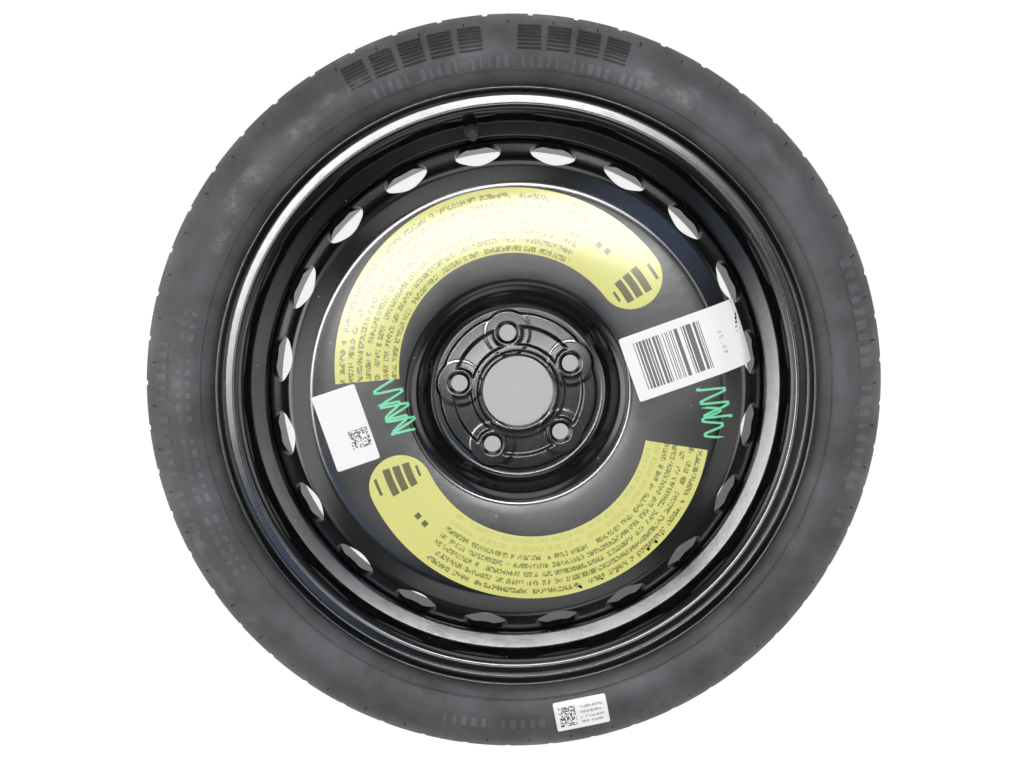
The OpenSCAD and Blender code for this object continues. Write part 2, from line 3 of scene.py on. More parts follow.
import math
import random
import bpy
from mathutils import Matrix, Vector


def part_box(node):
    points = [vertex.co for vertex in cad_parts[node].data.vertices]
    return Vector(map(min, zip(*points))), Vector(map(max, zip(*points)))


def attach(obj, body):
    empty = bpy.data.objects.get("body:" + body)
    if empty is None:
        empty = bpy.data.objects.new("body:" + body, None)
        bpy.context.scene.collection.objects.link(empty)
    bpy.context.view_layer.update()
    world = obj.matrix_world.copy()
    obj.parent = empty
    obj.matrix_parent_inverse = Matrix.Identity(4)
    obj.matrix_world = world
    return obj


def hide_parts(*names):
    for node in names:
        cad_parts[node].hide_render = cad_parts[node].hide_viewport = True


bl_info = {
    "name": "Space saver spare wheel",
    "version": (1, 0, 0),
    "blender": (4, 5, 0),
    "location": "View3D > Sidebar > Spare wheel",
    "description": "Models a spare wheel's tyre, rim, disc and films, and gives them their finish",
    "category": "Object",
}

import bpy
from mathutils import Euler, Matrix, Vector

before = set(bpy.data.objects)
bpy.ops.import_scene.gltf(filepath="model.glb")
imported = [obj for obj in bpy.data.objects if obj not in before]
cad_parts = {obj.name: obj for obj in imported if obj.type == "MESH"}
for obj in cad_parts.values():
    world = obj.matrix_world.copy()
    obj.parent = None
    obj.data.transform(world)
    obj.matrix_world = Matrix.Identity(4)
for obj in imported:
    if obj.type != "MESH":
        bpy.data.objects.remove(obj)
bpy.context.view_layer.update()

MM = 0.001
FULL_TURN = 2 * math.pi
TYRE_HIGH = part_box("tyre")[1]
LABEL_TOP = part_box("tyre_label")[1].z


def length(name, description, default):
    return bpy.props.FloatProperty(
        name=name, description=description, default=default, unit="LENGTH", precision=5)


def angle(name, description, default):
    return bpy.props.FloatProperty(
        name=name, description=description, default=math.radians(default), subtype="ANGLE")


def number(name, description, default):
    return bpy.props.IntProperty(name=name, description=description, default=default, min=1)


def share(name, description, default):
    return bpy.props.FloatProperty(name=name, description=description, default=default)


def colour(name, description, default):
    return bpy.props.FloatVectorProperty(
        name=name, description=description, default=default, subtype="COLOR", size=3, min=0, max=1)


class TyreSizes(bpy.types.PropertyGroup):
    """Section, tread and shoulders of the tyre"""

    tread_radius: length("Tread radius", "Radius at the middle of the tread", TYRE_HIGH.x)
    half_width: length("Half width", "Half of the section, up to the flat it lies on", TYRE_HIGH.z)
    bulge_radius: length("Bulge", "Radius of the sidewall's bulge in section", 0.0422)
    bulge_at: length("Bulge place", "Distance from the axis to the bulge's centre", 0.302)
    bulge_height: length("Bulge height", "Distance from the middle plane to the bulge's centre", 0.033)
    sidewall: length("Sidewall", "Thickness of the sidewall", 0.008)
    tread: length("Tread", "Thickness of the rubber under the tread", 0.012)
    crown: length("Crown", "Radius of the tread's crown in section", 0.568)
    groove_step: length("Groove step", "Distance between the grooves that run round", 0.024)
    groove_width: length("Groove width", "Width of each groove", 0.006)
    groove_depth: length("Groove depth", "Depth of each groove", 0.005)
    notch_count: number("Notches", "Number of notches round each shoulder", 52)
    notch_width: length("Notch width", "Width of a shoulder notch", 0.0045)
    notch_depth: length("Notch depth", "Depth of a shoulder notch", 0.0065)
    notch_from: length("Notch start", "Distance of the notches from the middle plane", 0.043)
    slot_length: length("Slot length", "Length of the slots between the notches", 0.007)
    slot_width: length("Slot width", "Width of the slots", 0.0012)
    slot_depth: length("Slot depth", "Depth of the slots", 0.0016)
    rib_at: length("Rib place", "Radius of the centring rib", 0.2846)
    rib_height: length("Rib height", "Height of the centring rib", 0.0007)


class RimSizes(bpy.types.PropertyGroup):
    """Section of the rolled rim"""

    seat_radius: length("Seat radius", "Radius of the bead seat at the flange", 0.25395)
    width: length("Width", "Width between the flanges", 0.1143)
    flange_height: length("Flange height", "Height of the flange over the seat", 0.01735)
    flange_lip: length("Flange lip", "Width of the rolled flange", 0.0124)
    sheet: length("Sheet", "Thickness of the rim's sheet", 0.003)
    lip_turn: length("Lip turn", "Radius between the flange's flat and its lip", 0.0025)
    seat_taper: angle("Seat taper", "Taper of the bead seats", 5)
    well_radius: length("Drop centre", "Radius of the drop centre on the tyre's side", 0.237)
    hump_in: length("Hump", "Distance from the flange to the crest of the hump", 0.02075)
    wall_lean: angle("Wall lean", "Lean of the wall that the valve stands in", 21)
    well_end: length("Drop centre end", "Height of the drop centre's inner end", -0.009)
    valve_clock: angle("Valve", "Clock angle of the valve", -10.2)
    valve_hole: length("Valve hole", "Radius of the valve hole", 0.00575)


class DiscSizes(bpy.types.PropertyGroup):
    """Section of the pressed disc, its vents and its hub"""

    sheet: length("Sheet", "Thickness of the disc's sheet", 0.005)
    hub_offset: length("Hub offset", "Height of the mounting face", 0.028)
    foot_radius: length("Recess foot", "Radius at the foot of the hub recess", 0.082)
    brow_radius: length("Recess brow", "Radius at the top of the hub recess", 0.096)
    crown_height: length("Crown height", "Height of the crown over the mounting face", 0.0394)
    crown_rise: angle("Crown rise", "Rise of the crown towards its edge", 4.8)
    chamfer_width: length("Chamfer", "Width of the gentle fall outside the crown", 0.0213)
    chamfer_slope: angle("Chamfer slope", "Slope of the gentle fall", 12)
    band_width: length("Vent band", "Width of the steep band that holds the vents", 0.02565)
    vent_slope: angle("Vent slope", "Slope of the band that holds the vents", 51.2)
    flange_end: length("Flange end", "Lowest point of the welded flange", 0.006)
    vent_count: number("Vents", "Number of vents", 20)
    vent_radius: length("Vent radius", "Radius of each vent", 0.0211)
    vent_in: length("Vent place", "Distance of a vent's middle from the disc's edge", 0.01315)
    vent_clock: angle("First vent", "Clock angle of the first vent", 8.2)
    bore: length("Bore", "Radius of the centre bore", 0.03325)
    collar_width: length("Collar width", "Width of the raised collar round the bore", 0.005)
    collar_height: length("Collar height", "Height of the collar over the plateau", 0.0026)
    bolt_circle: length("Bolt circle", "Radius of the bolt circle", 0.056)
    bolt_count: number("Bolts", "Number of bolt holes", 5)
    bolt_hole: length("Bolt hole", "Radius of each bolt hole", 0.00775)
    bolt_clock: angle("First bolt", "Clock angle of the first bolt hole", -10.2)
    ball_seat: length("Ball seat", "Radius of the ball seats", 0.014)
    plateau_radius: length("Plateau", "Radius of the raised plateau", 0.0725)
    plateau_height: length("Plateau height", "Height of the plateau over the ring round it", 0.003)
    boss_radius: length("Boss", "Radius of the raised round at each bolt", 0.02)
    pad_inner: length("Pad inside", "Inner radius of the sunk pads", 0.043)
    pad_outer: length("Pad outside", "Outer radius of the sunk pads", 0.0625)


class FilmSizes(bpy.types.PropertyGroup):
    """Films that are stuck to the wheel"""

    thickness: length("Film", "Thickness of the films", 0.0002)
    gap: length("Film gap", "Distance of the films from the paint", 0.00004)
    inner: length("Inside", "Inner radius of the curved stickers", 0.105)
    outer: length("Outside", "Outer radius of the curved stickers", 0.162)
    sweep: angle("Sweep", "Sweep of the curved stickers", 146)
    upper_clock: angle("Upper start", "Clock angle where the upper sticker starts", -94.5)
    lower_clock: angle("Lower start", "Clock angle where the lower sticker starts", 98.7)


class FinishColours(bpy.types.PropertyGroup):
    """Colours of the finishes"""

    rubber: colour("Rubber", "Tyre rubber", (0.040, 0.0405, 0.044))
    # Colour of the pale scuffs on the rubber, which also paint its sheen
    chalk_and_sheen: colour("Chalk", "Pale scuffs on the rubber", (0.17, 0.18, 0.175))
    rim: colour("Rim", "Gloss paint of the rim", (0.004, 0.004, 0.0045))
    disc: colour("Disc", "Paint of the disc", (0.005, 0.005, 0.0055))
    sticker: colour("Sticker", "Yellow of the curved stickers", (0.72, 0.71, 0.225))
    ink: colour("Ink", "Print on the stickers", (0.11, 0.10, 0.045))
    label: colour("Label", "White of the labels", (0.86, 0.86, 0.87))
    marker: colour("Marker", "Paint-pen marks", (0.156, 0.68, 0.376))
    brass: colour("Brass", "Valve stem and core", (0.62, 0.45, 0.18))


class StageSettings(bpy.types.PropertyGroup):
    """Camera, lamps and floor"""

    camera_place: bpy.props.FloatVectorProperty(
        name="Camera", description="Place of the camera", unit="LENGTH",
        default=(-0.02646, 0.06204, 0.75372))
    camera_pitch: angle("Pitch", "Tilt of the camera about X", 4.396)
    camera_yaw: angle("Yaw", "Tilt of the camera about Y", 1.651)
    focal_share: share("Focal length", "Focal length as a share of the picture's width", 0.74465)
    floor: colour("Floor", "Colour of the floor", (0.8, 0.8, 0.8))


def left_of(d):
    """The direction a quarter turn to the left, in a section."""
    return Vector((-d.y, d.x))


def spaced(start, end, count):
    """Evenly spaced values from start to end, both included."""
    return [start + (end - start) * i / count for i in range(count + 1)]


def arc(centre, radius, start, end, count):
    """Points of an arc in a section, with its angles in radians."""
    return [centre + radius * Vector((math.cos(a), math.sin(a))) for a in spaced(start, end, count)]


ARC_STEP = math.radians(3.5)


def rounded_corner(p, before, after, radius, side):
    """Points of a path's rounded corner, moved sideways by the sheet's thickness."""
    n1, n2 = left_of(before), left_of(after)
    turn = math.copysign(1, before.x * after.y - before.y * after.x)
    bend = before.angle(after)
    corner = p + side * (n1 + n2) / (1 + n1.dot(n2))
    if radius == 0:
        return [corner]
    bent_radius = radius - side * turn
    centre = corner - before * bent_radius * math.tan(bend / 2) + turn * bent_radius * n1
    start = math.atan2(-turn * n1.y, -turn * n1.x)
    count = max(2, math.ceil(bend / ARC_STEP))
    return arc(centre, bent_radius, start, start + turn * bend, count)


def sheet_side(path, rounds, side):
    """One side of a bent sheet: the path's line, moved sideways, with its corners rounded."""
    first = left_of((path[1] - path[0]).normalized())
    last = left_of((path[-1] - path[-2]).normalized())
    points = [path[0] + side * first]
    for i in range(1, len(path) - 1):
        before = (path[i] - path[i - 1]).normalized()
        after = (path[i + 1] - path[i]).normalized()
        points += rounded_corner(path[i], before, after, rounds[i], side)
    return points + [path[-1] + side * last]


def subdivided(points, longest, reach=math.inf):
    """The same line with no stretch over the longest, up to a radius."""
    made = [points[0]]
    for a, b in zip(points, points[1:]):
        count = math.ceil((b - a).length / longest) if min(a.x, b.x) < reach else 1
        made += [a.lerp(b, i / count) for i in range(1, count + 1)]
    return made


def at_clock(clock, radius=0.0, height=0.0):
    """The point at a clock angle, clockwise from +Y."""
    return Vector((radius * math.sin(clock), radius * math.cos(clock), height))


def clock_turn(clock):
    """The turn about Z that takes +X to a clock angle."""
    return math.pi / 2 - clock


def smooth_step(value, start, end):
    """0 before start, 1 after end, and a smooth rise between."""
    t = min(1, max(0, (value - start) / (end - start)))
    return t * t * (3 - 2 * t)


def deselect():
    bpy.ops.object.select_all(action="DESELECT")


def only(obj):
    """Selects one object alone and makes it active."""
    deselect()
    obj.select_set(True)
    bpy.context.view_layer.objects.active = obj


def join(objects, name):
    """Joins objects into one, under a plain name."""
    deselect()
    for obj in objects:
        obj.select_set(True)
    bpy.context.view_layer.objects.active = objects[0]
    if len(objects) > 1:
        bpy.ops.object.join()
    joined = bpy.context.object
    joined.name = name
    joined.data.name = name
    return joined


def settle(obj):
    """Puts the object's place, turn and size into its mesh."""
    only(obj)
    bpy.ops.object.transform_apply(location=True, rotation=True, scale=True)
    return obj


def apply_modifier(obj, modifier):
    only(obj)
    bpy.ops.object.modifier_apply(modifier=modifier.name)


def edit(obj, action="SELECT"):
    """Opens a piece in edit mode, with all of it selected or none."""
    only(obj)
    bpy.ops.object.mode_set(mode="EDIT")
    bpy.ops.mesh.select_all(action=action)


def close_edit():
    bpy.ops.object.mode_set(mode="OBJECT")


def tidy_mesh(obj, threshold=1e-6):
    """Merges doubles and turns all faces outwards."""
    edit(obj)
    bpy.ops.mesh.remove_doubles(threshold=threshold)
    bpy.ops.mesh.normals_make_consistent(inside=False)
    close_edit()
    return obj


def section_loop(name, outline):
    """A closed loop of edges in the XZ plane, through a section's points."""
    deselect()
    bpy.ops.mesh.primitive_circle_add(vertices=len(outline), radius=1, fill_type="NOTHING")
    obj = bpy.context.object
    obj.name = name
    obj.data.name = name
    for vertex, point in zip(obj.data.vertices, outline):
        vertex.co = (point.x, 0, point.y)
    return obj


def spun(name, outline, segments, sweep=FULL_TURN):
    """A section spun about the wheel's axis, clockwise from +X."""
    obj = section_loop(name, outline)
    edit(obj)
    bpy.ops.mesh.spin(steps=segments, angle=sweep, center=(0, 0, 0), axis=(0, 0, 1))
    close_edit()
    return tidy_mesh(obj)


def drum(radius, depth, place, turn, sides):
    """A cylinder for cutting, centred at its place."""
    bpy.ops.mesh.primitive_cylinder_add(
        vertices=sides, radius=radius, depth=depth, location=place, rotation=turn)
    return bpy.context.object


def cut(obj, cutters):
    """Cuts the joined cutters out of a piece."""
    cutter = settle(join(cutters, "cutter"))
    modifier = obj.modifiers.new("cut", "BOOLEAN")
    modifier.operation = "DIFFERENCE"
    modifier.solver = "EXACT"
    modifier.object = cutter
    apply_modifier(obj, modifier)
    bpy.data.objects.remove(cutter)
    return obj


def finish_piece(obj, finish, body, replaced=(), smooth=40):
    """Shading, material, body and the nodes that a piece stands for."""
    settle(obj)
    bpy.ops.object.shade_smooth_by_angle(angle=math.radians(smooth))
    obj.data.materials.clear()
    obj.data.materials.append(finish)
    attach(obj, body)
    if replaced:
        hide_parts(*replaced)
    return obj


def coat_node(node, finish):
    """Gives a node of the frame its finish."""
    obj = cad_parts[node]
    obj.data.materials.clear()
    obj.data.materials.append(finish)
    return obj


# Shader helpers

def put(tree, kind, **settings):
    """Adds a shader node with its settings."""
    made = tree.nodes.new(kind)
    for key, value in settings.items():
        setattr(made, key, value)
    return made


def feed(tree, socket, value):
    """Links a socket to an input, or sets the input's own value."""
    if isinstance(value, bpy.types.NodeSocket):
        tree.links.new(value, socket)
    else:
        socket.default_value = value


def calc(tree, operation, *values):
    """A Math node's result."""
    made = put(tree, "ShaderNodeMath", operation=operation)
    for socket, value in zip(made.inputs, values):
        feed(tree, socket, value)
    return made.outputs[0]


def apart(tree, a, b):
    """The distance between two values."""
    return calc(tree, "ABSOLUTE", calc(tree, "SUBTRACT", a, b))


def times(tree, *values):
    """The product of values; of masks, where all of them hold."""
    total = values[0]
    for value in values[1:]:
        total = calc(tree, "MULTIPLY", total, value)
    return total


def ramp(tree, value, low, high, to_low=0.0, to_high=1.0):
    """A smooth, clamped change from one range to another."""
    made = put(tree, "ShaderNodeMapRange", interpolation_type="SMOOTHSTEP")
    for socket, item in zip(made.inputs, (value, low, high, to_low, to_high)):
        feed(tree, socket, item)
    return made.outputs[0]


def blend(tree, mask, a, b):
    """Colour a where the mask is 0, and b where it is 1."""
    made = put(tree, "ShaderNodeMix", data_type="RGBA")
    feed(tree, made.inputs[0], mask)
    feed(tree, made.inputs[6], a)
    feed(tree, made.inputs[7], b)
    return made.outputs[2]


def noise(tree, place, scale, detail=2.0, rough=0.5):
    """A noise texture's value."""
    made = put(tree, "ShaderNodeTexNoise")
    feed(tree, made.inputs["Vector"], place)
    made.inputs["Scale"].default_value = scale
    made.inputs["Detail"].default_value = detail
    made.inputs["Roughness"].default_value = rough
    return made.outputs["Fac"]


def with_alpha(rgb):
    return (*rgb, 1)


def new_group(name, inputs, outputs):
    """An empty shader node group, with its input and output nodes."""
    tree = bpy.data.node_groups.new(name, "ShaderNodeTree")
    for title, kind in inputs:
        tree.interface.new_socket(title, in_out="INPUT", socket_type=kind)
    for title, kind in outputs:
        tree.interface.new_socket(title, in_out="OUTPUT", socket_type=kind)
    return tree, tree.nodes.new("NodeGroupInput"), tree.nodes.new("NodeGroupOutput")


def use_group(tree, group, **values):
    """Places a group in a material, with its own values."""
    made = put(tree, "ShaderNodeGroup", node_tree=group)
    for title, value in values.items():
        feed(tree, made.inputs[title.replace("_", " ")], value)
    return made


def polar_group():
    """Distance from a centre in the wheel's plane and the angle round it."""
    tree, given, out = new_group(
        "place round a centre",
        [("Centre X", "NodeSocketFloat"), ("Centre Y", "NodeSocketFloat")],
        [("Radius", "NodeSocketFloat"), ("Angle", "NodeSocketFloat")])
    split = put(tree, "ShaderNodeSeparateXYZ")
    coords = put(tree, "ShaderNodeTexCoord")
    tree.links.new(coords.outputs["Object"], split.inputs[0])
    x = calc(tree, "SUBTRACT", split.outputs[0], given.outputs[0])
    y = calc(tree, "SUBTRACT", split.outputs[1], given.outputs[1])
    squares = calc(tree, "ADD", times(tree, x, x), times(tree, y, y))
    tree.links.new(calc(tree, "SQRT", squares), out.inputs[0])
    tree.links.new(calc(tree, "ARCTAN2", x, y), out.inputs[1])
    return tree


def print_group():
    """Rows of small printed strokes with gaps: Along runs with a row, Across counts the rows."""
    tree, given, out = new_group(
        "rows of small print",
        [("Along", "NodeSocketFloat"), ("Across", "NodeSocketFloat"), ("Pitch", "NodeSocketFloat"),
         ("Height", "NodeSocketFloat"), ("Stroke", "NodeSocketFloat")],
        [("Mask", "NodeSocketFloat")])
    along, across, pitch, height, stroke = given.outputs[:5]
    row = calc(tree, "FLOOR", calc(tree, "DIVIDE", across, pitch))
    up = calc(tree, "SUBTRACT", across, times(tree, row, pitch))
    in_row = calc(tree, "LESS_THAN", up, height)
    cell = calc(tree, "FLOOR", calc(tree, "DIVIDE", along, stroke))
    bar = calc(tree, "FLOOR", calc(tree, "DIVIDE", up, calc(tree, "DIVIDE", height, 3)))
    place = put(tree, "ShaderNodeCombineXYZ")
    feed(tree, place.inputs[0], cell)
    feed(tree, place.inputs[1], row)
    feed(tree, place.inputs[2], bar)
    dots = put(tree, "ShaderNodeTexWhiteNoise", noise_dimensions="3D")
    tree.links.new(place.outputs[0], dots.inputs["Vector"])
    inked = calc(tree, "GREATER_THAN", dots.outputs["Value"], 0.4)
    word_place = put(tree, "ShaderNodeCombineXYZ")
    feed(tree, word_place.inputs[0], calc(tree, "FLOOR", calc(tree, "DIVIDE", cell, 4)))
    feed(tree, word_place.inputs[1], row)
    words = put(tree, "ShaderNodeTexWhiteNoise", noise_dimensions="2D")
    tree.links.new(word_place.outputs[0], words.inputs["Vector"])
    kept = calc(tree, "GREATER_THAN", words.outputs["Value"], 0.16)
    mask = times(tree, times(tree, inked, kept), in_row)
    tree.links.new(mask, out.inputs[0])
    return tree


def grain_group():
    """Fine relief of a surface, as a normal."""
    tree, given, out = new_group(
        "fine relief",
        [("Scale", "NodeSocketFloat"), ("Distance", "NodeSocketFloat")],
        [("Normal", "NodeSocketVector"), ("Value", "NodeSocketFloat")])
    coords = put(tree, "ShaderNodeTexCoord")
    texture = put(tree, "ShaderNodeTexNoise")
    tree.links.new(coords.outputs["Object"], texture.inputs["Vector"])
    tree.links.new(given.outputs[0], texture.inputs["Scale"])
    texture.inputs["Detail"].default_value = 3
    bump = put(tree, "ShaderNodeBump")
    tree.links.new(texture.outputs["Fac"], bump.inputs["Height"])
    tree.links.new(given.outputs[1], bump.inputs["Distance"])
    tree.links.new(bump.outputs[0], out.inputs[0])
    tree.links.new(texture.outputs["Fac"], out.inputs[1])
    return tree


def dust_group():
    """Small pale specks and faint smears of dust."""
    tree, given, out = new_group(
        "dust and specks",
        [("Speck Scale", "NodeSocketFloat"), ("Amount", "NodeSocketFloat")],
        [("Mask", "NodeSocketFloat")])
    coords = put(tree, "ShaderNodeTexCoord")
    cells = put(tree, "ShaderNodeTexVoronoi", feature="F1")
    tree.links.new(coords.outputs["Object"], cells.inputs["Vector"])
    tree.links.new(given.outputs[0], cells.inputs["Scale"])
    dots = ramp(tree, cells.outputs["Distance"], 0.10, 0.04)
    chosen = put(tree, "ShaderNodeSeparateColor")
    tree.links.new(cells.outputs["Color"], chosen.inputs[0])
    few = calc(tree, "GREATER_THAN", chosen.outputs[0], 0.86)
    smears = ramp(tree, noise(tree, coords.outputs["Object"], 9, 4, 0.6), 0.52, 0.78)
    specks = times(tree, dots, few)
    dusty = calc(tree, "MAXIMUM", specks, times(tree, smears, 0.025))
    tree.links.new(times(tree, dusty, given.outputs[1]), out.inputs[0])
    return tree


GROUPS = {}


def groups():
    """The shared node groups, made once."""
    if not GROUPS:
        GROUPS.update(polar=polar_group(), rows=print_group(), grain=grain_group(), dust=dust_group())
    return GROUPS


def new_material(name, base, roughness, metallic=0.0, specular=0.5):
    """A material with its shader's plain values."""
    material = bpy.data.materials.new(name)
    material.use_nodes = True
    tree = material.node_tree
    shader = tree.nodes["Principled BSDF"]
    shader.inputs["Base Color"].default_value = with_alpha(base)
    shader.inputs["Roughness"].default_value = roughness
    shader.inputs["Metallic"].default_value = metallic
    shader.inputs["Specular IOR Level"].default_value = specular
    return material, tree, shader


def object_coords(tree):
    return put(tree, "ShaderNodeTexCoord").outputs["Object"]


# Pale scuffs on the sidewall, with a painted sheen that is brightest towards the upper left and faintest
# at the bottom: clock angle, half sweep, radius, half width and strength
SCUFFS_AND_SHEEN = (
    (-53, 8, 0.299, 0.012, 1.0), (-61, 5, 0.295, 0.008, 0.8), (-37, 7, 0.300, 0.010, 0.7),
    (-30, 5, 0.304, 0.008, 0.5), (26, 8, 0.297, 0.010, 0.9), (31, 5, 0.306, 0.006, 0.6),
    (47, 9, 0.308, 0.010, 0.35), (-85, 12, 0.306, 0.014, 0.5), (-120, 16, 0.318, 0.010, 0.45),
    (100, 14, 0.312, 0.012, 0.3), (150, 20, 0.316, 0.012, 0.2),
)

# Fine ribs on the shoulder: the band's radii, how soft its edges are, number and depth
HATCH_FROM, HATCH_TO, HATCH_FADE, HATCH_COUNT, HATCH_DEPTH = 0.3325, 0.3390, 0.002, 832.0, 0.00022

# Paint-pen waves on the disc: middle, turn in degrees, length, swing and number of waves
WAVES = (
    ((-0.1135, -0.0105), -68, 0.050, 0.0115, 3.6), ((-0.1115, -0.0215), -62, 0.036, 0.0085, 2.5),
    ((0.1785, -0.0085), -74, 0.034, 0.0115, 2.6), ((0.1770, -0.0265), -80, 0.030, 0.0085, 2.2),
)
PEN_WIDTH = 0.0011

# Bold bars near a sticker's round end: clock degrees past the end, distance from the inner edge,
# half sweep in degrees and half height
BOLD_MARKS = (
    (3.0, 0.0170, 5.2, 0.0034), (3.0, 0.0262, 5.2, 0.0034), (3.0, 0.0354, 5.2, 0.0034),
    (-13.5, 0.030, 1.1, 0.0026), (-17.5, 0.030, 1.1, 0.0026), (3.0, 0.0475, 3.0, 0.0014),
    (3.0, 0.0085, 2.6, 0.0012),
)

# Print on the stickers: distance between rows, height, stroke, bare margins and strength
ROW_PITCH, ROW_HEIGHT, ROW_STROKE = 0.0077, 0.0046, 0.00085
INNER_MARGIN, OUTER_MARGIN, ROW_STRENGTH, BOLD_STRENGTH = 0.0018, 0.002, 0.72, 0.95

# Print on the labels: width of a bar and of a dot, each with the share that stays bare, then the rows
# of small print and the ink
BAR_STEP, BARE_BARS, DOT_STEP, BARE_DOTS = 0.00085, 0.47, 0.0011, 0.5
SMALL_PITCH, SMALL_HEIGHT, SMALL_STROKE, SMALL_STRENGTH = 0.0048, 0.0023, 0.0007, 0.7
LABEL_INK, LABEL_STRENGTH = (0.02, 0.02, 0.02, 1), 0.93


def add_grain(tree, shader, scale, depth):
    """Roughens a finish with fine grain, and gives the grain back."""
    grain = use_group(tree, groups()["grain"], Scale=scale, Distance=depth)
    tree.links.new(grain.outputs["Normal"], shader.inputs["Normal"])
    return grain


def turned_place(tree, centre, turn):
    """X and Y on a film that is turned about its middle."""
    mapping = put(tree, "ShaderNodeMapping", vector_type="TEXTURE")
    tree.links.new(object_coords(tree), mapping.inputs["Vector"])
    mapping.inputs["Location"].default_value = (*centre, 0)
    mapping.inputs["Rotation"].default_value = (0, 0, turn)
    split = put(tree, "ShaderNodeSeparateXYZ")
    tree.links.new(mapping.outputs[0], split.inputs[0])
    return split.outputs[:2]


def rubber_finish(colours, name="tyre rubber", shade=1.0):
    """Dull tyre rubber with mottling, pale scuffs with a painted sheen, and a fine grain."""
    # A shade above 1 lightens the rubber as a painted highlight, and one below 1 darkens it as painted
    # shade
    base = [c * shade for c in colours.rubber]
    material, tree, shader = new_material(name, base, 0.6, specular=0.4 * min(1, shade))
    coords = object_coords(tree)
    around = use_group(tree, groups()["polar"], Centre_X=0.0, Centre_Y=0.0)
    cloud = noise(tree, coords, 14, 5, 0.65)
    rubber = blend(
        tree, ramp(tree, cloud, 0.3, 0.75), with_alpha([c * 0.7 for c in base]),
        with_alpha([c * 1.7 for c in base]))
    worn_and_sheen = None
    for clock, half, radius, thick, strength in SCUFFS_AND_SHEEN:
        turn = apart(tree, around.outputs["Angle"], math.radians(clock))
        near = ramp(tree, turn, math.radians(half), math.radians(half * 0.35))
        off = apart(tree, around.outputs["Radius"], radius)
        spot = times(tree, near, ramp(tree, off, thick, thick * 0.15, 0.0, strength))
        worn_and_sheen = spot if worn_and_sheen is None else calc(tree, "MAXIMUM", worn_and_sheen, spot)
    broken = ramp(tree, noise(tree, coords, 42, 6, 0.72), 0.42, 0.68)
    # Pale scuffs and painted sheen, strongest towards the upper left
    rubber = blend(tree, times(tree, worn_and_sheen, broken), rubber, with_alpha(colours.chalk_and_sheen))
    tree.links.new(rubber, shader.inputs["Base Color"])
    grain = use_group(tree, groups()["grain"], Scale=420.0, Distance=0.0003)
    out = around.outputs["Radius"]
    band = times(tree, ramp(tree, out, HATCH_FROM, HATCH_FROM + HATCH_FADE),
                 ramp(tree, out, HATCH_TO, HATCH_TO - HATCH_FADE / 2))
    ribs = calc(tree, "SINE", times(tree, around.outputs["Angle"], HATCH_COUNT))
    hatch = put(tree, "ShaderNodeBump")
    feed(tree, hatch.inputs["Height"], times(tree, ribs, band))
    hatch.inputs["Distance"].default_value = HATCH_DEPTH
    tree.links.new(grain.outputs["Normal"], hatch.inputs["Normal"])
    tree.links.new(hatch.outputs[0], shader.inputs["Normal"])
    rough = ramp(tree, cloud, 0.3, 0.75, 0.66, 0.52)
    tree.links.new(rough, shader.inputs["Roughness"])
    return material


def pen_mask(tree):
    """Quick waves of a paint pen: 1 on the stroke."""
    mask = None
    for centre, turn, reach, swing, count in WAVES:
        x, y = turned_place(tree, centre, math.radians(turn))
        phase = times(tree, x, FULL_TURN * count / reach)
        wave = times(tree, calc(tree, "SINE", phase), swing)
        slope = times(tree, calc(tree, "COSINE", phase), swing * FULL_TURN * count / reach)
        across = calc(tree, "SQRT", calc(tree, "ADD", times(tree, slope, slope), 1.0))
        off = calc(tree, "DIVIDE", apart(tree, y, wave), across)
        inside = calc(tree, "LESS_THAN", calc(tree, "ABSOLUTE", x), reach / 2)
        stroke = times(tree, ramp(tree, off, PEN_WIDTH * 1.25, PEN_WIDTH * 0.8), inside)
        mask = stroke if mask is None else calc(tree, "MAXIMUM", mask, stroke)
    return mask


def paint_finish(name, base, roughness, dust, pen=None):
    """Black paint on sheet metal, with a slight orange peel, dust, specks and perhaps pen marks."""
    material, tree, shader = new_material(name, base, roughness)
    specks = use_group(tree, groups()["dust"], Speck_Scale=95.0, Amount=dust)
    colour_out = blend(tree, specks.outputs["Mask"], with_alpha(base), (0.35, 0.35, 0.34, 1))
    if pen:
        colour_out = blend(tree, pen_mask(tree), colour_out, with_alpha(pen))
    tree.links.new(colour_out, shader.inputs["Base Color"])
    peel = use_group(tree, groups()["grain"], Scale=130.0, Distance=0.00002)
    tree.links.new(peel.outputs["Normal"], shader.inputs["Normal"])
    coords = object_coords(tree)
    hazy = ramp(tree, noise(tree, coords, 11, 4, 0.6), 0.35, 0.8, roughness, roughness + 0.09)
    tree.links.new(hazy, shader.inputs["Roughness"])
    return material


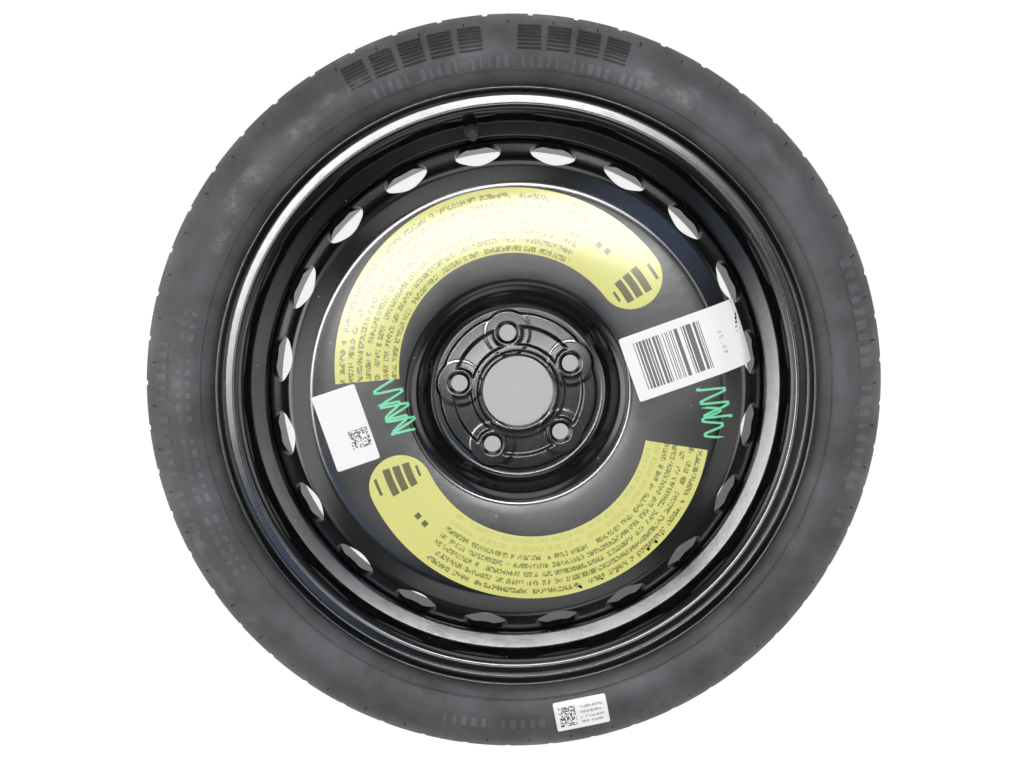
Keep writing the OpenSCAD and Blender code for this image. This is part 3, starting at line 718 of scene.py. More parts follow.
def sticker_finish(name, colours, centre, films, band, marks):
    """Yellow film with curved rows of small print and a few bold bars near its round end."""
    material, tree, shader = new_material(name, colours.sticker, 0.07)
    around = use_group(tree, groups()["polar"], Centre_X=centre.x, Centre_Y=centre.y)
    radius, turn = around.outputs
    start, sweep, rows_from, faint = band
    middle = (films.inner + films.outer) / 2
    across = calc(tree, "SUBTRACT", radius, films.inner + INNER_MARGIN)
    rows = use_group(
        tree, groups()["rows"], Along=times(tree, turn, middle), Across=across,
        Pitch=ROW_PITCH, Height=ROW_HEIGHT, Stroke=ROW_STROKE)
    past = turn_from(tree, turn, start)
    inside = calc(tree, "LESS_THAN", past, sweep)
    high = calc(tree, "LESS_THAN", radius, films.outer - OUTER_MARGIN)
    low = calc(tree, "GREATER_THAN", across, 0.0)
    share = ramp(tree, across, rows_from - MM, rows_from, faint, ROW_STRENGTH)
    mask = times(tree, rows.outputs[0], inside, high, low, share)
    for clock, at, half_turn, half_high in marks:
        off = apart(tree, turn_from(tree, turn, math.radians(clock) - math.pi), math.pi)
        bar = times(tree, crisp(tree, off, math.radians(half_turn)),
                    crisp(tree, apart(tree, radius, at), half_high), BOLD_STRENGTH)
        mask = calc(tree, "MAXIMUM", mask, bar)
    film = blend(tree, mask, with_alpha(colours.sticker), with_alpha(colours.ink))
    tree.links.new(film, shader.inputs["Base Color"])
    add_grain(tree, shader, 60.0, 0.00002)
    return material


def crisp(tree, off, half):
    """1 up to half a width and 0 beyond, with an edge that is only slightly soft."""
    return ramp(tree, off, half * 1.04, half * 0.96)


def turn_from(tree, turn, start):
    """The angle past a start, from 0 to a full turn."""
    return calc(tree, "FLOORED_MODULO", calc(tree, "SUBTRACT", turn, start), FULL_TURN)


def label_finish(name, colours, centre, turn, bars=None, rows=None, dots=None):
    """White film with printed bars, rows of small print and a patch of dots, each a box on the film."""
    material, tree, shader = new_material(name, colours.label, 0.42)
    x, y = turned_place(tree, centre, turn)

    def inside(box):
        x0, y0, x1, y1 = box
        return times(tree, calc(tree, "GREATER_THAN", x, x0), calc(tree, "LESS_THAN", x, x1),
                     calc(tree, "GREATER_THAN", y, y0), calc(tree, "LESS_THAN", y, y1))

    def step(value, width):
        return calc(tree, "FLOOR", calc(tree, "DIVIDE", value, width))

    masks = []
    if bars:
        stripes = put(tree, "ShaderNodeTexWhiteNoise", noise_dimensions="1D")
        feed(tree, stripes.inputs["W"], step(x, BAR_STEP))
        masks.append(times(tree, inside(bars), calc(tree, "GREATER_THAN", stripes.outputs[0], BARE_BARS)))
    if rows:
        lines = use_group(
            tree, groups()["rows"], Along=x, Across=calc(tree, "SUBTRACT", y, rows[1]),
            Pitch=SMALL_PITCH, Height=SMALL_HEIGHT, Stroke=SMALL_STROKE)
        masks.append(times(tree, inside(rows), times(tree, lines.outputs[0], SMALL_STRENGTH)))
    if dots:
        cells = put(tree, "ShaderNodeCombineXYZ")
        feed(tree, cells.inputs[0], step(x, DOT_STEP))
        feed(tree, cells.inputs[1], step(y, DOT_STEP))
        chance = put(tree, "ShaderNodeTexWhiteNoise", noise_dimensions="2D")
        tree.links.new(cells.outputs[0], chance.inputs["Vector"])
        masks.append(times(tree, inside(dots), calc(tree, "GREATER_THAN", chance.outputs[0], BARE_DOTS)))
    mask = masks[0]
    for other in masks[1:]:
        mask = calc(tree, "MAXIMUM", mask, other)
    printed = times(tree, mask, LABEL_STRENGTH)
    film = blend(tree, printed, with_alpha(colours.label), LABEL_INK)
    tree.links.new(film, shader.inputs["Base Color"])
    add_grain(tree, shader, 80.0, 0.00003)
    return material


def plain_finish(name, base, roughness, metallic=0.0, scale=900.0, depth=0.00004):
    """A small part's finish: an even colour that varies slightly, with a fine grain."""
    material, tree, shader = new_material(name, base, roughness, metallic)
    grain = add_grain(tree, shader, scale, depth)
    varied = blend(
        tree, ramp(tree, grain.outputs["Value"], 0.35, 0.65), with_alpha([c * 0.85 for c in base]),
        with_alpha([min(1, c * 1.12) for c in base]))
    tree.links.new(varied, shader.inputs["Base Color"])
    return material


# Small sizes of the rim's section, which the tyre's bead follows
SEAT_WIDTH, HUMP_HEIGHT, LEDGE_DROP, LEDGE_END = 0.01565, 0.0013, 0.0005, 0.0036
INNER_HUMP_DROP, INNER_HUMP_SHIFT, FIT_GAP = 0.0003, 0.0008, 0.00005
RIM_ROUNDS = (0, 9.5, 6.5, 4, 5, 4, 9, 9, 4, 4, 4, 6.5, 9.5, 0)
DISC_ROUNDS = (0, 6, 16, 30, 14, 7, 0)


def rim_section(s):
    """The rim's closed section, with its two rolled edges."""
    flange = s.width / 2
    lip_end = flange + s.flange_lip
    top = s.seat_radius + s.flange_height
    hump = flange - s.hump_in
    seat_end = flange - SEAT_WIDTH
    seat_end_r = s.seat_radius - (flange - seat_end) * math.tan(s.seat_taper)
    crest = seat_end_r + HUMP_HEIGHT
    wall_foot = hump - (crest - s.well_radius) * math.tan(s.wall_lean)
    ledge_r = seat_end_r - LEDGE_DROP
    ledge = s.well_end - (ledge_r - s.well_radius)
    path = [Vector(p) for p in (
        (top, lip_end), (top, flange), (s.seat_radius, flange), (seat_end_r, seat_end),
        (crest, hump), (s.well_radius, wall_foot), (s.well_radius, s.well_end), (ledge_r, ledge),
        (ledge_r, -hump + LEDGE_END), (crest - INNER_HUMP_DROP, -hump - INNER_HUMP_SHIFT),
        (seat_end_r, -seat_end), (s.seat_radius, -flange), (top, -flange), (top, -lip_end))]
    rounds = [r * MM for r in RIM_ROUNDS]
    half = s.sheet / 2
    outer = sheet_side(path, rounds, 0)
    rounds[1] = rounds[-2] = s.sheet + s.lip_turn
    inner = sheet_side(path, rounds, -s.sheet)
    upper_lip = arc(Vector((top - half, lip_end)), half, math.pi, 0, 8)[1:-1]
    lower_lip = arc(Vector((top - half, -lip_end)), half, 0, -math.pi, 8)[1:-1]
    return outer + lower_lip + inner[::-1] + upper_lip


def disc_path(s, rim):
    """Corners of the disc's front and their rounding radii."""
    front = s.hub_offset + s.sheet
    crown = s.hub_offset + s.crown_height
    edge = disc_edge(rim)
    band_r = edge - s.band_width
    crown_r = band_r - s.chamfer_width
    brow = crown - (crown_r - s.brow_radius) * math.tan(s.crown_rise)
    band = crown - s.chamfer_width * math.tan(s.chamfer_slope)
    path = [Vector(p) for p in (
        (s.bore, front), (s.foot_radius, front), (s.brow_radius, brow), (crown_r, crown),
        (band_r, band), (edge, band - s.band_width * math.tan(s.vent_slope)), (edge, s.flange_end))]
    return path, [r * MM for r in DISC_ROUNDS]


def disc_edge(rim):
    """Radius of the disc's welded flange, inside the rim."""
    return rim.well_radius - rim.sheet - FIT_GAP


def bolt_places(s):
    """Middles of the bolt holes in the wheel's plane."""
    return [at_clock(s.bolt_clock + i * FULL_TURN / s.bolt_count, s.bolt_circle)
            for i in range(s.bolt_count)]


# The pressed hub: width of its drafted edges; how far the front and back pads reach inside a boss's
# radius, and its lift; the collar's edge; the bore's mouth; height of the ball seats' centres over
# the plateau, and the flat ring round the bore at the back
EDGE = 0.0026
PAD_CLEAR, BACK_CLEAR, BOSS_LIFT = 0.0075, 0.006, 0.0004
COLLAR_OUT, COLLAR_IN, MOUTH_WIDTH, MOUTH_DROP = 0.0016, 0.0008, 0.0012, 0.001
SEAT_CENTRE, BORE_CLEAR = 0.0096, 0.006


def pad_share(s, x, y, bolts, clear):
    """1 on a sunk pad between two bolts, 0 off it, with drafted walls."""
    r = math.hypot(x, y)
    if not s.pad_inner - EDGE < r < s.pad_outer + EDGE:
        return 0
    ring = smooth_step(r, s.pad_inner, s.pad_inner + EDGE)
    ring *= smooth_step(r, s.pad_outer, s.pad_outer - EDGE)
    return ring * smooth_step(nearest_bolt(x, y, bolts), clear, clear + EDGE)


def nearest_bolt(x, y, bolts):
    return min(math.hypot(x - b.x, y - b.y) for b in bolts)


def hub_front(s, x, y, bolts):
    """Height of the pressed hub over the flat sheet."""
    r = math.hypot(x, y)
    near = nearest_bolt(x, y, bolts)
    boss = smooth_step(near, s.boss_radius + EDGE, s.boss_radius)
    plateau = smooth_step(r, s.plateau_radius + EDGE, s.plateau_radius)
    z = max(plateau, boss) * s.plateau_height + boss * BOSS_LIFT
    z -= pad_share(s, x, y, bolts, s.boss_radius - PAD_CLEAR) * s.plateau_height
    rim_of_bore = s.bore + s.collar_width
    collar = smooth_step(r, rim_of_bore + COLLAR_OUT, rim_of_bore - COLLAR_IN)
    mouth = smooth_step(r, s.bore + MOUTH_WIDTH, s.bore)
    z += collar * s.collar_height - mouth * MOUTH_DROP
    if near < s.ball_seat:
        seat = s.plateau_height + SEAT_CENTRE - math.sqrt(s.ball_seat ** 2 - near ** 2)
        z = min(z, seat)
    return z


def hub_back(s, x, y, bolts):
    """Height of the hub's back over the mounting face."""
    r = math.hypot(x, y)
    inside = smooth_step(r, s.plateau_radius - EDGE, s.plateau_radius - 2 * EDGE)
    clear_of_bore = smooth_step(r, s.bore + BORE_CLEAR, s.bore + BORE_CLEAR + EDGE)
    pad = pad_share(s, x, y, bolts, s.boss_radius - BACK_CLEAR)
    return inside * clear_of_bore * (1 - pad) * s.plateau_height


# Small sizes of the tyre's section: the shoulder's rounding and its drop under the tread, the toe past
# the seat's end, the rounding over the flange and at the heel; the groove walls' lean, the end of the
# last tread rib, the angle where the side meets the bead, and half the angle of the side's rib
SHOULDER, SHOULDER_DROP, BEAD_TOE, CURL, HEEL = 0.012, 0.0022, 0.002, 0.0095, 0.0065
GROOVE_LEAN, LAST_RIB, BEAD_END, RIB_HALF = 0.0008, 0.039, math.radians(136), math.radians(1.4)


def tyre_half_section(s, rim):
    """Outer and inner lines of the tyre's section from its middle plane to the bead."""
    tread = s.tread_radius
    shoulder = SHOULDER
    corner_r = tread - SHOULDER_DROP - shoulder
    rise = math.asin((corner_r - s.bulge_at) / (s.bulge_radius - shoulder))
    turn = math.pi / 2 - rise
    corner_z = s.bulge_height + (s.bulge_radius - shoulder) * math.cos(rise)
    rib = math.acos((s.rib_at - s.bulge_at) / s.bulge_radius)
    flange = rim.width / 2
    flange_r = rim.seat_radius + rim.flange_height
    seat_end = flange - SEAT_WIDTH
    seat_end_r = rim.seat_radius - (flange - seat_end) * math.tan(rim.seat_taper)
    toe = seat_end + BEAD_TOE
    curl, heel, gap = CURL, HEEL, FIT_GAP
    centre = Vector((s.bulge_at, s.bulge_height))

    def crown_at(z):
        return tread - s.crown + math.sqrt(s.crown ** 2 - z * z)

    def side_point(a, r):
        point = centre + r * Vector((math.cos(a), math.sin(a)))
        return Vector((point.x, min(s.half_width, point.y)))

    half, slope, floor = s.groove_width / 2, GROOVE_LEAN, tread - s.groove_depth
    rows = s.groove_step
    outer = [Vector(p) for p in (
        (floor, 0), (floor, half - slope), (crown_at(half), half), (crown_at(rows / 2), rows / 2),
        (crown_at(rows - half), rows - half), (floor, rows - half + slope), (floor, rows + half - slope),
        (crown_at(rows + half), rows + half), (crown_at(LAST_RIB), LAST_RIB))]
    outer += arc(Vector((corner_r, corner_z)), shoulder, 0, turn, 8)
    small = RIB_HALF
    outer += [side_point(a, s.bulge_radius) for a in spaced(turn, rib - small, 34)[1:]]
    outer += [side_point(rib + side * small * 0.35, s.bulge_radius + s.rib_height) for side in (-1, 1)]
    outer += [side_point(a, s.bulge_radius) for a in spaced(rib + small, BEAD_END, 12)]
    outer += arc(Vector((flange_r - curl, flange + curl)), curl + 0.0005, math.radians(-30),
                 math.radians(-84), 8)
    outer.append(Vector((flange_r - curl - 0.001, flange - gap)))
    outer += arc(Vector((rim.seat_radius + gap + heel, flange - gap - heel)), heel, math.pi / 2,
                 math.pi, 6)
    outer.append(Vector((seat_end_r + 0.0002 + gap, toe)))
    inner = [Vector((seat_end_r + 0.004, toe - 0.001)), Vector((rim.seat_radius + 0.014, toe + 0.003))]
    inner += arc(centre, s.bulge_radius - s.sidewall, math.radians(128), math.radians(44), 14)
    inner.append(Vector((tread - s.tread, corner_z - 0.007)))
    return outer + inner


def mirrored(points):
    """The section's other half, in the opposite order."""
    return [Vector((p.x, -p.y)) for p in points[::-1]]


def shoulder_cutters(s, clock, side):
    """A notch across one shoulder, and a slot half a pitch further on."""
    pitch = FULL_TURN / s.notch_count
    deep, tall = s.notch_depth + 0.002, 0.03
    deselect()
    middle = at_clock(clock, s.tread_radius - s.notch_depth + deep / 2, side * (s.notch_from + tall / 2))
    bpy.ops.mesh.primitive_cube_add(size=1, location=middle, rotation=(0, 0, clock_turn(clock)))
    notch = bpy.context.object
    notch.scale = (deep, s.notch_width, tall)
    lean = math.radians(57.3)
    place = s.bulge_radius - s.slot_depth + 0.001
    other = clock + pitch / 2 if side > 0 else clock - pitch / 2
    high = s.bulge_height + place * math.sin(lean)
    at = at_clock(other, s.bulge_at + place * math.cos(lean), side * high)
    turn = Euler((0, side * (math.pi / 2 - lean), clock_turn(other)))
    bpy.ops.mesh.primitive_cube_add(size=1, location=at, rotation=turn)
    slot = bpy.context.object
    slot.scale = (s.slot_length, s.slot_width, 0.002)
    return [notch, slot]


def section_height(points, radius):
    """Height of a section's line at a radius."""
    for a, b in zip(points, points[1:]):
        if a.x <= radius <= b.x and b.x > a.x:
            return a.y + (b.y - a.y) * (radius - a.x) / (b.x - a.x)
    return points[-1].y if radius > points[-1].x else points[0].y


def sizes():
    return bpy.context.scene.wheel_sizes


def colours():
    return bpy.context.scene.wheel_sizes.colours


def disc_height(radius):
    """Height of the disc's front at a radius."""
    s = sizes()
    path, rounds = disc_path(s.disc, s.rim)
    return section_height(sheet_side(path, rounds, 0), radius)


def sidewall_height(radius):
    """Height of the tyre's upper sidewall at a radius."""
    s = sizes().tyre
    reach = max(0, s.bulge_radius ** 2 - (radius - s.bulge_at) ** 2)
    return min(s.half_width, s.bulge_height + math.sqrt(reach))


def drape(obj, height_at, lift):
    """Lays a flat piece over a turned surface."""
    for vertex in obj.data.vertices:
        vertex.co.z += height_at(math.hypot(vertex.co.x, vertex.co.y)) + lift
    return obj


def thicken(obj, thickness):
    """Gives a laid film its thickness, upwards."""
    modifier = obj.modifiers.new("film", "SOLIDIFY")
    modifier.thickness = thickness
    modifier.offset = 1
    apply_modifier(obj, modifier)
    return obj


def flat_outline(name, points, cell):
    """A flat piece with this outline, divided into cells so that it can be laid over a curve."""
    deselect()
    bpy.ops.mesh.primitive_circle_add(vertices=len(points), radius=1, fill_type="NGON")
    obj = bpy.context.object
    obj.name = name
    obj.data.name = name
    for vertex, point in zip(obj.data.vertices, points):
        vertex.co = (point.x, point.y, 0)
    low = Vector((min(p.x for p in points), min(p.y for p in points), 0))
    high = Vector((max(p.x for p in points), max(p.y for p in points), 0))
    edit(obj)
    for axis in (0, 1):
        count = max(1, round((high - low)[axis] / cell))
        normal = (1, 0, 0) if axis == 0 else (0, 1, 0)
        for i in range(1, count):
            at = low.lerp(high, i / count)
            bpy.ops.mesh.select_all(action="SELECT")
            bpy.ops.mesh.bisect(plane_co=at, plane_no=normal)
    bpy.ops.mesh.select_all(action="SELECT")
    bpy.ops.mesh.normals_make_consistent(inside=False)
    close_edit()
    if obj.data.polygons[0].normal.z < 0:
        edit(obj)
        bpy.ops.mesh.flip_normals()
        close_edit()
    return obj


def rounded_box(centre, size, turn, corner):
    """Outline of a box with round corners, turned about its middle."""
    points = []
    for quarter, (sx, sy) in enumerate(((1, 1), (-1, 1), (-1, -1), (1, -1))):
        middle = Vector((sx * (size[0] / 2 - corner), sy * (size[1] / 2 - corner)))
        points += arc(middle, corner, quarter * math.pi / 2, (quarter + 1) * math.pi / 2, 4)
    turned = Matrix.Rotation(turn, 2)
    return [turned @ p + Vector(centre[:2]) for p in points]


def band_outline(centre, inner, outer, start, sweep):
    """Outline of a curved band with a square start and a round end, by clock angle."""
    def ring(radius, clock):
        return Vector(centre[:2]) + at_clock(clock, radius).to_2d()

    middle, half = (inner + outer) / 2, (outer - inner) / 2
    count = 72
    points = [ring(outer, a) for a in spaced(start, start + sweep, count)]
    end = ring(middle, start + sweep)
    points += [end + at_clock(start + sweep + a, half).to_2d() for a in spaced(0, math.pi, 20)[1:-1]]
    return points + [ring(inner, a) for a in spaced(start + sweep, start, count)]


class WHEEL_OT_tyre(bpy.types.Operator):
    """Model the tyre as one notched pitch that is repeated round the axis"""

    bl_idname = "wheel.tyre"
    bl_label = "Tyre"

    def execute(self, context):
        s = sizes().tyre
        pitch = FULL_TURN / s.notch_count
        half = tyre_half_section(s, sizes().rim)
        outline = half + mirrored(half)[:-1]
        sector = spun("tyre_body", outline, 8, pitch)
        edit(sector, "DESELECT")
        bpy.ops.mesh.select_non_manifold()
        bpy.ops.mesh.edge_face_add()
        bpy.ops.mesh.select_all(action="SELECT")
        bpy.ops.mesh.normals_make_consistent(inside=False)
        close_edit()
        first = math.pi / 2
        upper = shoulder_cutters(s, first + 0.25 * pitch, 1)
        cut(sector, upper + shoulder_cutters(s, first + 0.75 * pitch, -1))
        edit(sector, "DESELECT")
        close_edit()
        tangents = [Vector((-e.y, e.x, 0)) for e in (at_clock(first, 1), at_clock(first + pitch, 1))]
        for face in sector.data.polygons:
            aligned = any(abs(face.normal.dot(t)) > 0.9999 for t in tangents)
            on_plane = any(abs(face.center.dot(t)) < 1e-5 for t in tangents)
            face.select = aligned and on_plane
        bpy.ops.object.mode_set(mode="EDIT")
        bpy.ops.mesh.delete(type="FACE")
        bpy.ops.mesh.select_all(action="SELECT")
        bpy.ops.mesh.spin(
            steps=s.notch_count - 1, angle=FULL_TURN - pitch, center=(0, 0, 0), axis=(0, 0, 1),
            dupli=True)
        close_edit()
        tidy_mesh(sector, 2e-6)
        finish_piece(sector, rubber_finish(colours()), "wheel", ["tyre"], 35)
        return {"FINISHED"}


# Rows of raised bars on the sidewall: radius, first and last clock degrees, step, height, width share
# and how many bars in a word
BAR_ROWS = (
    (0.2905, -25.5, 22.5, 1.45, 0.0085, 0.45, 5), (0.3170, -115, -80, 1.75, 0.0095, 0.45, 6),
    (0.2975, -122, -74, 2.0, 0.0125, 0.5, 6), (0.3150, 68, 116, 2.1, 0.0120, 0.5, 9),
    (0.3060, 176, 196, 1.7, 0.0080, 0.45, 5),
)

# The row of ribbed blocks: radius, first clock degrees, step, size and ribs of one; how many, which
# are left out, and the share of its place that a rib fills
BLOCKS_RADIUS, BLOCKS_FROM, BLOCK_STEP, BLOCK_SIZE, BLOCK_RIBS = 0.3115, -27.0, 4.75, 0.0205, 6
BLOCK_COUNT, BLOCKS_LEFT_OUT, RIB_SHARE = 10, (5,), 0.6
MARK_RAISE, MARK_DEPTH = 0.0006, 0.0016


def raised_bar(clock, radius, along, across):
    """A small bar that stands out of the sidewall: its size round the wheel and its size outwards."""
    z = (MARK_RAISE - MARK_DEPTH) / 2
    bpy.ops.mesh.primitive_cube_add(
        size=1, location=at_clock(clock, radius, z), rotation=(0, 0, clock_turn(clock)))
    bar = bpy.context.object
    bar.scale = (across, along, MARK_RAISE + MARK_DEPTH)
    return bar


class WHEEL_OT_marks(bpy.types.Operator):
    """Raise plain bars and ribbed blocks on the sidewall, where the tyre has its moulded marks"""

    bl_idname = "wheel.marks"
    bl_label = "Sidewall marks"

    def execute(self, context):
        chance = random.Random(7)
        bars, blocks = [], []
        for radius, first, last, step, height, share_wide, word in BAR_ROWS:
            for i in range(int((last - first) / step)):
                wide = share_wide * chance.choice((0.6, 1.0, 1.35))
                if i % (word + 1) < word:
                    clock = math.radians(first + i * step)
                    bars.append(raised_bar(clock, radius, radius * math.radians(step) * wide, height))
        for i in set(range(BLOCK_COUNT)) - set(BLOCKS_LEFT_OUT):
            clock = math.radians(BLOCKS_FROM + i * BLOCK_STEP)
            for out in spaced(-BLOCK_SIZE / 2, BLOCK_SIZE / 2, BLOCK_RIBS):
                rib = BLOCK_SIZE / BLOCK_RIBS * RIB_SHARE
                blocks.append(raised_bar(clock, BLOCKS_RADIUS + out, BLOCK_SIZE, rib))
        # Lighter rubber on the raised bars is a painted highlight, and darker rubber on the ribbed blocks
        # is painted shade
        for name, pieces, shade in (("sidewall_bars_painted_highlight", bars, 1.7), ("sidewall_blocks_painted_shade", blocks, 0.42)):
            marks = settle(join(pieces, name))
            for vertex in marks.data.vertices:
                x, y, z = vertex.co
                vertex.co.z = min(z + sidewall_height(math.hypot(x, y)), LABEL_TOP - 0.00003)
            finish = rubber_finish(colours(), name.replace("_", " ") + " rubber", shade)
            finish_piece(marks, finish, "wheel", (), 30)
        return {"FINISHED"}


class WHEEL_OT_rim(bpy.types.Operator):
    """Spin the rim's section and drill the valve hole"""

    bl_idname = "wheel.rim"
    bl_label = "Rim"

    def execute(self, context):
        s = sizes().rim
        rim = spun("rim_shell", rim_section(s), 360)
        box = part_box("valve_body")
        foot = (box[0] + box[1]) / 2
        turn = Euler((0, -s.wall_lean, clock_turn(s.valve_clock)))
        axis = turn.to_matrix() @ Vector((0, 0, 1))
        cut(rim, [drum(s.valve_hole, 0.02, foot - axis * 0.004, turn, 48)])
        paint = paint_finish("gloss black paint", colours().rim, 0.10, 0.5)
        finish_piece(rim, paint, "wheel", ["rim"])
        coat_node("weld_beads", plain_finish("painted weld", colours().rim, 0.3, 0.0, 500.0, 0.0006))
        return {"FINISHED"}


class WHEEL_OT_disc(bpy.types.Operator):
    """Spin the disc's section, press the hub, and cut the vents, bolt holes and bore"""

    bl_idname = "wheel.disc"
    bl_label = "Disc"

    def execute(self, context):
        s, rim = sizes().disc, sizes().rim
        path, rounds = disc_path(s, rim)
        hub = s.foot_radius - 0.003
        front = subdivided(sheet_side(path, rounds, 0), 0.0009, hub)
        front = subdivided(front, 0.008)
        back = subdivided(sheet_side(path, rounds, -s.sheet), 0.0018, hub)
        back = subdivided(back, 0.010)
        disc = spun("disc_shell", front + back[::-1], 360)
        bolts = bolt_places(s)
        face = s.hub_offset + s.sheet
        for vertex in disc.data.vertices:
            x, y, z = vertex.co
            if math.hypot(x, y) < hub and abs(z - face) < 1e-5:
                vertex.co.z += hub_front(s, x, y, bolts)
            elif math.hypot(x, y) < hub and abs(z - s.hub_offset) < 1e-5:
                vertex.co.z += hub_back(s, x, y, bolts)
        cutters = [drum(s.bolt_hole, 0.05, b + Vector((0, 0, face)), (0, 0, 0), 48) for b in bolts]
        height = path[-2].y + s.vent_in * math.tan(s.vent_slope)
        vent_at = disc_edge(rim) - s.vent_in
        for i in range(s.vent_count):
            clock = s.vent_clock + i * FULL_TURN / s.vent_count
            turn = (0, s.vent_slope, clock_turn(clock))
            cutters.append(drum(s.vent_radius, 0.022, at_clock(clock, vent_at, height), turn, 72))
        cut(disc, cutters)
        paint = paint_finish("satin black paint", colours().disc, 0.11, 0.7, colours().marker)
        finish_piece(disc, paint, "wheel", ["disc"], 45)
        return {"FINISHED"}


class WHEEL_OT_valve(bpy.types.Operator):
    """Give the valve's parts their finishes"""

    bl_idname = "wheel.valve"
    bl_label = "Valve"

    def execute(self, context):
        brass = plain_finish("brass", colours().brass, 0.3, 1.0)
        seal = plain_finish("seal rubber", (0.03, 0.03, 0.03), 0.6)
        coat_node("valve_body", plain_finish("valve rubber", (0.035, 0.037, 0.04), 0.42))
        for name in ("valve_stem", "core_plug", "core_barrel", "core_pin", "core_cup"):
            coat_node(name, brass)
        for name in ("cap_seal", "cup_seal"):
            coat_node(name, seal)
        coat_node("barrel_seal", plain_finish("red seal", (0.5, 0.05, 0.04), 0.5))
        coat_node("core_spring", plain_finish("spring steel", (0.6, 0.6, 0.62), 0.25, 1.0))
        coat_node("valve_cap", plain_finish("cap plastic", (0.02, 0.02, 0.021), 0.32, 0.0, 500.0))
        return {"FINISHED"}


def film_piece(name, outline, cell, height_at, finish):
    """A film laid on the wheel, in place of the frame's plain one."""
    films = sizes().films
    film = flat_outline(name + "_film", outline, cell)
    drape(film, height_at, films.gap)
    thicken(film, films.thickness)
    return finish_piece(film, finish, "wheel", [name], 30)


# The stickers' middles, the lower one's faint inner rows, and the sweep without print at a round end
UPPER_MIDDLE, LOWER_MIDDLE = (-0.004, 0.022), (0.0125, -0.0275)
FAINT_WIDTH, FAINT_STRENGTH, BARE_SWEEP = 0.0154, 0.16, math.radians(25)


class WHEEL_OT_stickers(bpy.types.Operator):
    """Lay the two curved yellow stickers on the disc, with bold generic bars at their round ends"""

    bl_idname = "wheel.stickers"
    bl_label = "Stickers"

    def execute(self, context):
        films = sizes().films
        places = (("upper_sticker", UPPER_MIDDLE, films.upper_clock, 0.0, ROW_STRENGTH),
                  ("lower_sticker", LOWER_MIDDLE, films.lower_clock, FAINT_WIDTH, FAINT_STRENGTH))
        for name, middle, start, rows_from, faint in places:
            centre = Vector(middle)
            outline = band_outline(centre, films.inner, films.outer, start, films.sweep)
            band = (start, films.sweep - BARE_SWEEP, rows_from, faint)
            marks = [(math.degrees(start + films.sweep) + clock, films.inner + at, half_turn, half_high)
                     for clock, at, half_turn, half_high in BOLD_MARKS]
            finish = sticker_finish(name + " print", colours(), centre, films, band, marks)
            film_piece(name, outline, 0.007, disc_height, finish)
        return {"FINISHED"}


# Labels: name, name of the material, place, size, corners' radius, turn in degrees, cell of the
# mesh, and printed boxes
LABELS = (
    ("barcode_label", "bar label", (0.1535, 0.0395), (0.112, 0.061), 0.002, 19.9, 0.004,
     dict(bars=(-0.045, -0.0225, 0.020, 0.0225), rows=(0.030, -0.014, 0.034, 0.010))),
    ("code_label", "code label", (-0.1568, -0.0305), (0.040, 0.0715), 0.002, 18.5, 0.006,
     dict(dots=(0.000, -0.0215, 0.0175, -0.004))),
    ("tyre_label", "tyre label", at_clock(math.radians(169), 0.302)[:2], (0.0495, 0.028), 0.0015, 11,
     0.004, dict(dots=(-0.021, -0.010, -0.005, 0.009), rows=(-0.001, -0.009, 0.021, 0.009))),
)


class WHEEL_OT_labels(bpy.types.Operator):
    """Lay the white labels on the disc and the tyre, with generic printed bars and marks"""

    bl_idname = "wheel.labels"
    bl_label = "Labels"

    def execute(self, context):
        for name, coat, place, size, corner, turn, cell, prints in LABELS:
            centre = Vector(place)
            height_at = sidewall_height if name == "tyre_label" else disc_height
            finish = label_finish(coat, colours(), centre, math.radians(turn), **prints)
            outline = rounded_box(centre, size, math.radians(turn), corner)
            film_piece(name, outline, cell, height_at, finish)
        return {"FINISHED"}


class WHEEL_OT_stage(bpy.types.Operator):
    """Floor, lamps and the camera at the photograph's angle"""

    bl_idname = "wheel.stage"
    bl_label = "Stage"

    def execute(self, context):
        s = sizes().stage
        deselect()
        bpy.ops.mesh.primitive_circle_add(vertices=96, radius=14, fill_type="NGON",
                                          location=(0, 0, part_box("tyre")[0].z - 0.0003))
        floor = bpy.context.object
        floor.name = "floor"
        floor.data.materials.append(floor_finish(s.floor))
        camera = bpy.data.objects.new("camera", bpy.data.cameras.new("camera"))
        context.collection.objects.link(camera)
        turn = Matrix.Rotation(s.camera_pitch, 3, "X") @ Matrix.Rotation(s.camera_yaw, 3, "Y")
        camera.matrix_world = Matrix.Translation(s.camera_place) @ turn.transposed().to_4x4()
        camera.data.sensor_width = 36
        camera.data.lens = 36 * s.focal_share
        camera.data.clip_start = 0.01
        context.scene.camera = camera
        studio_world(context.scene)
        context.scene.view_settings.view_transform = "Standard"
        return {"FINISHED"}


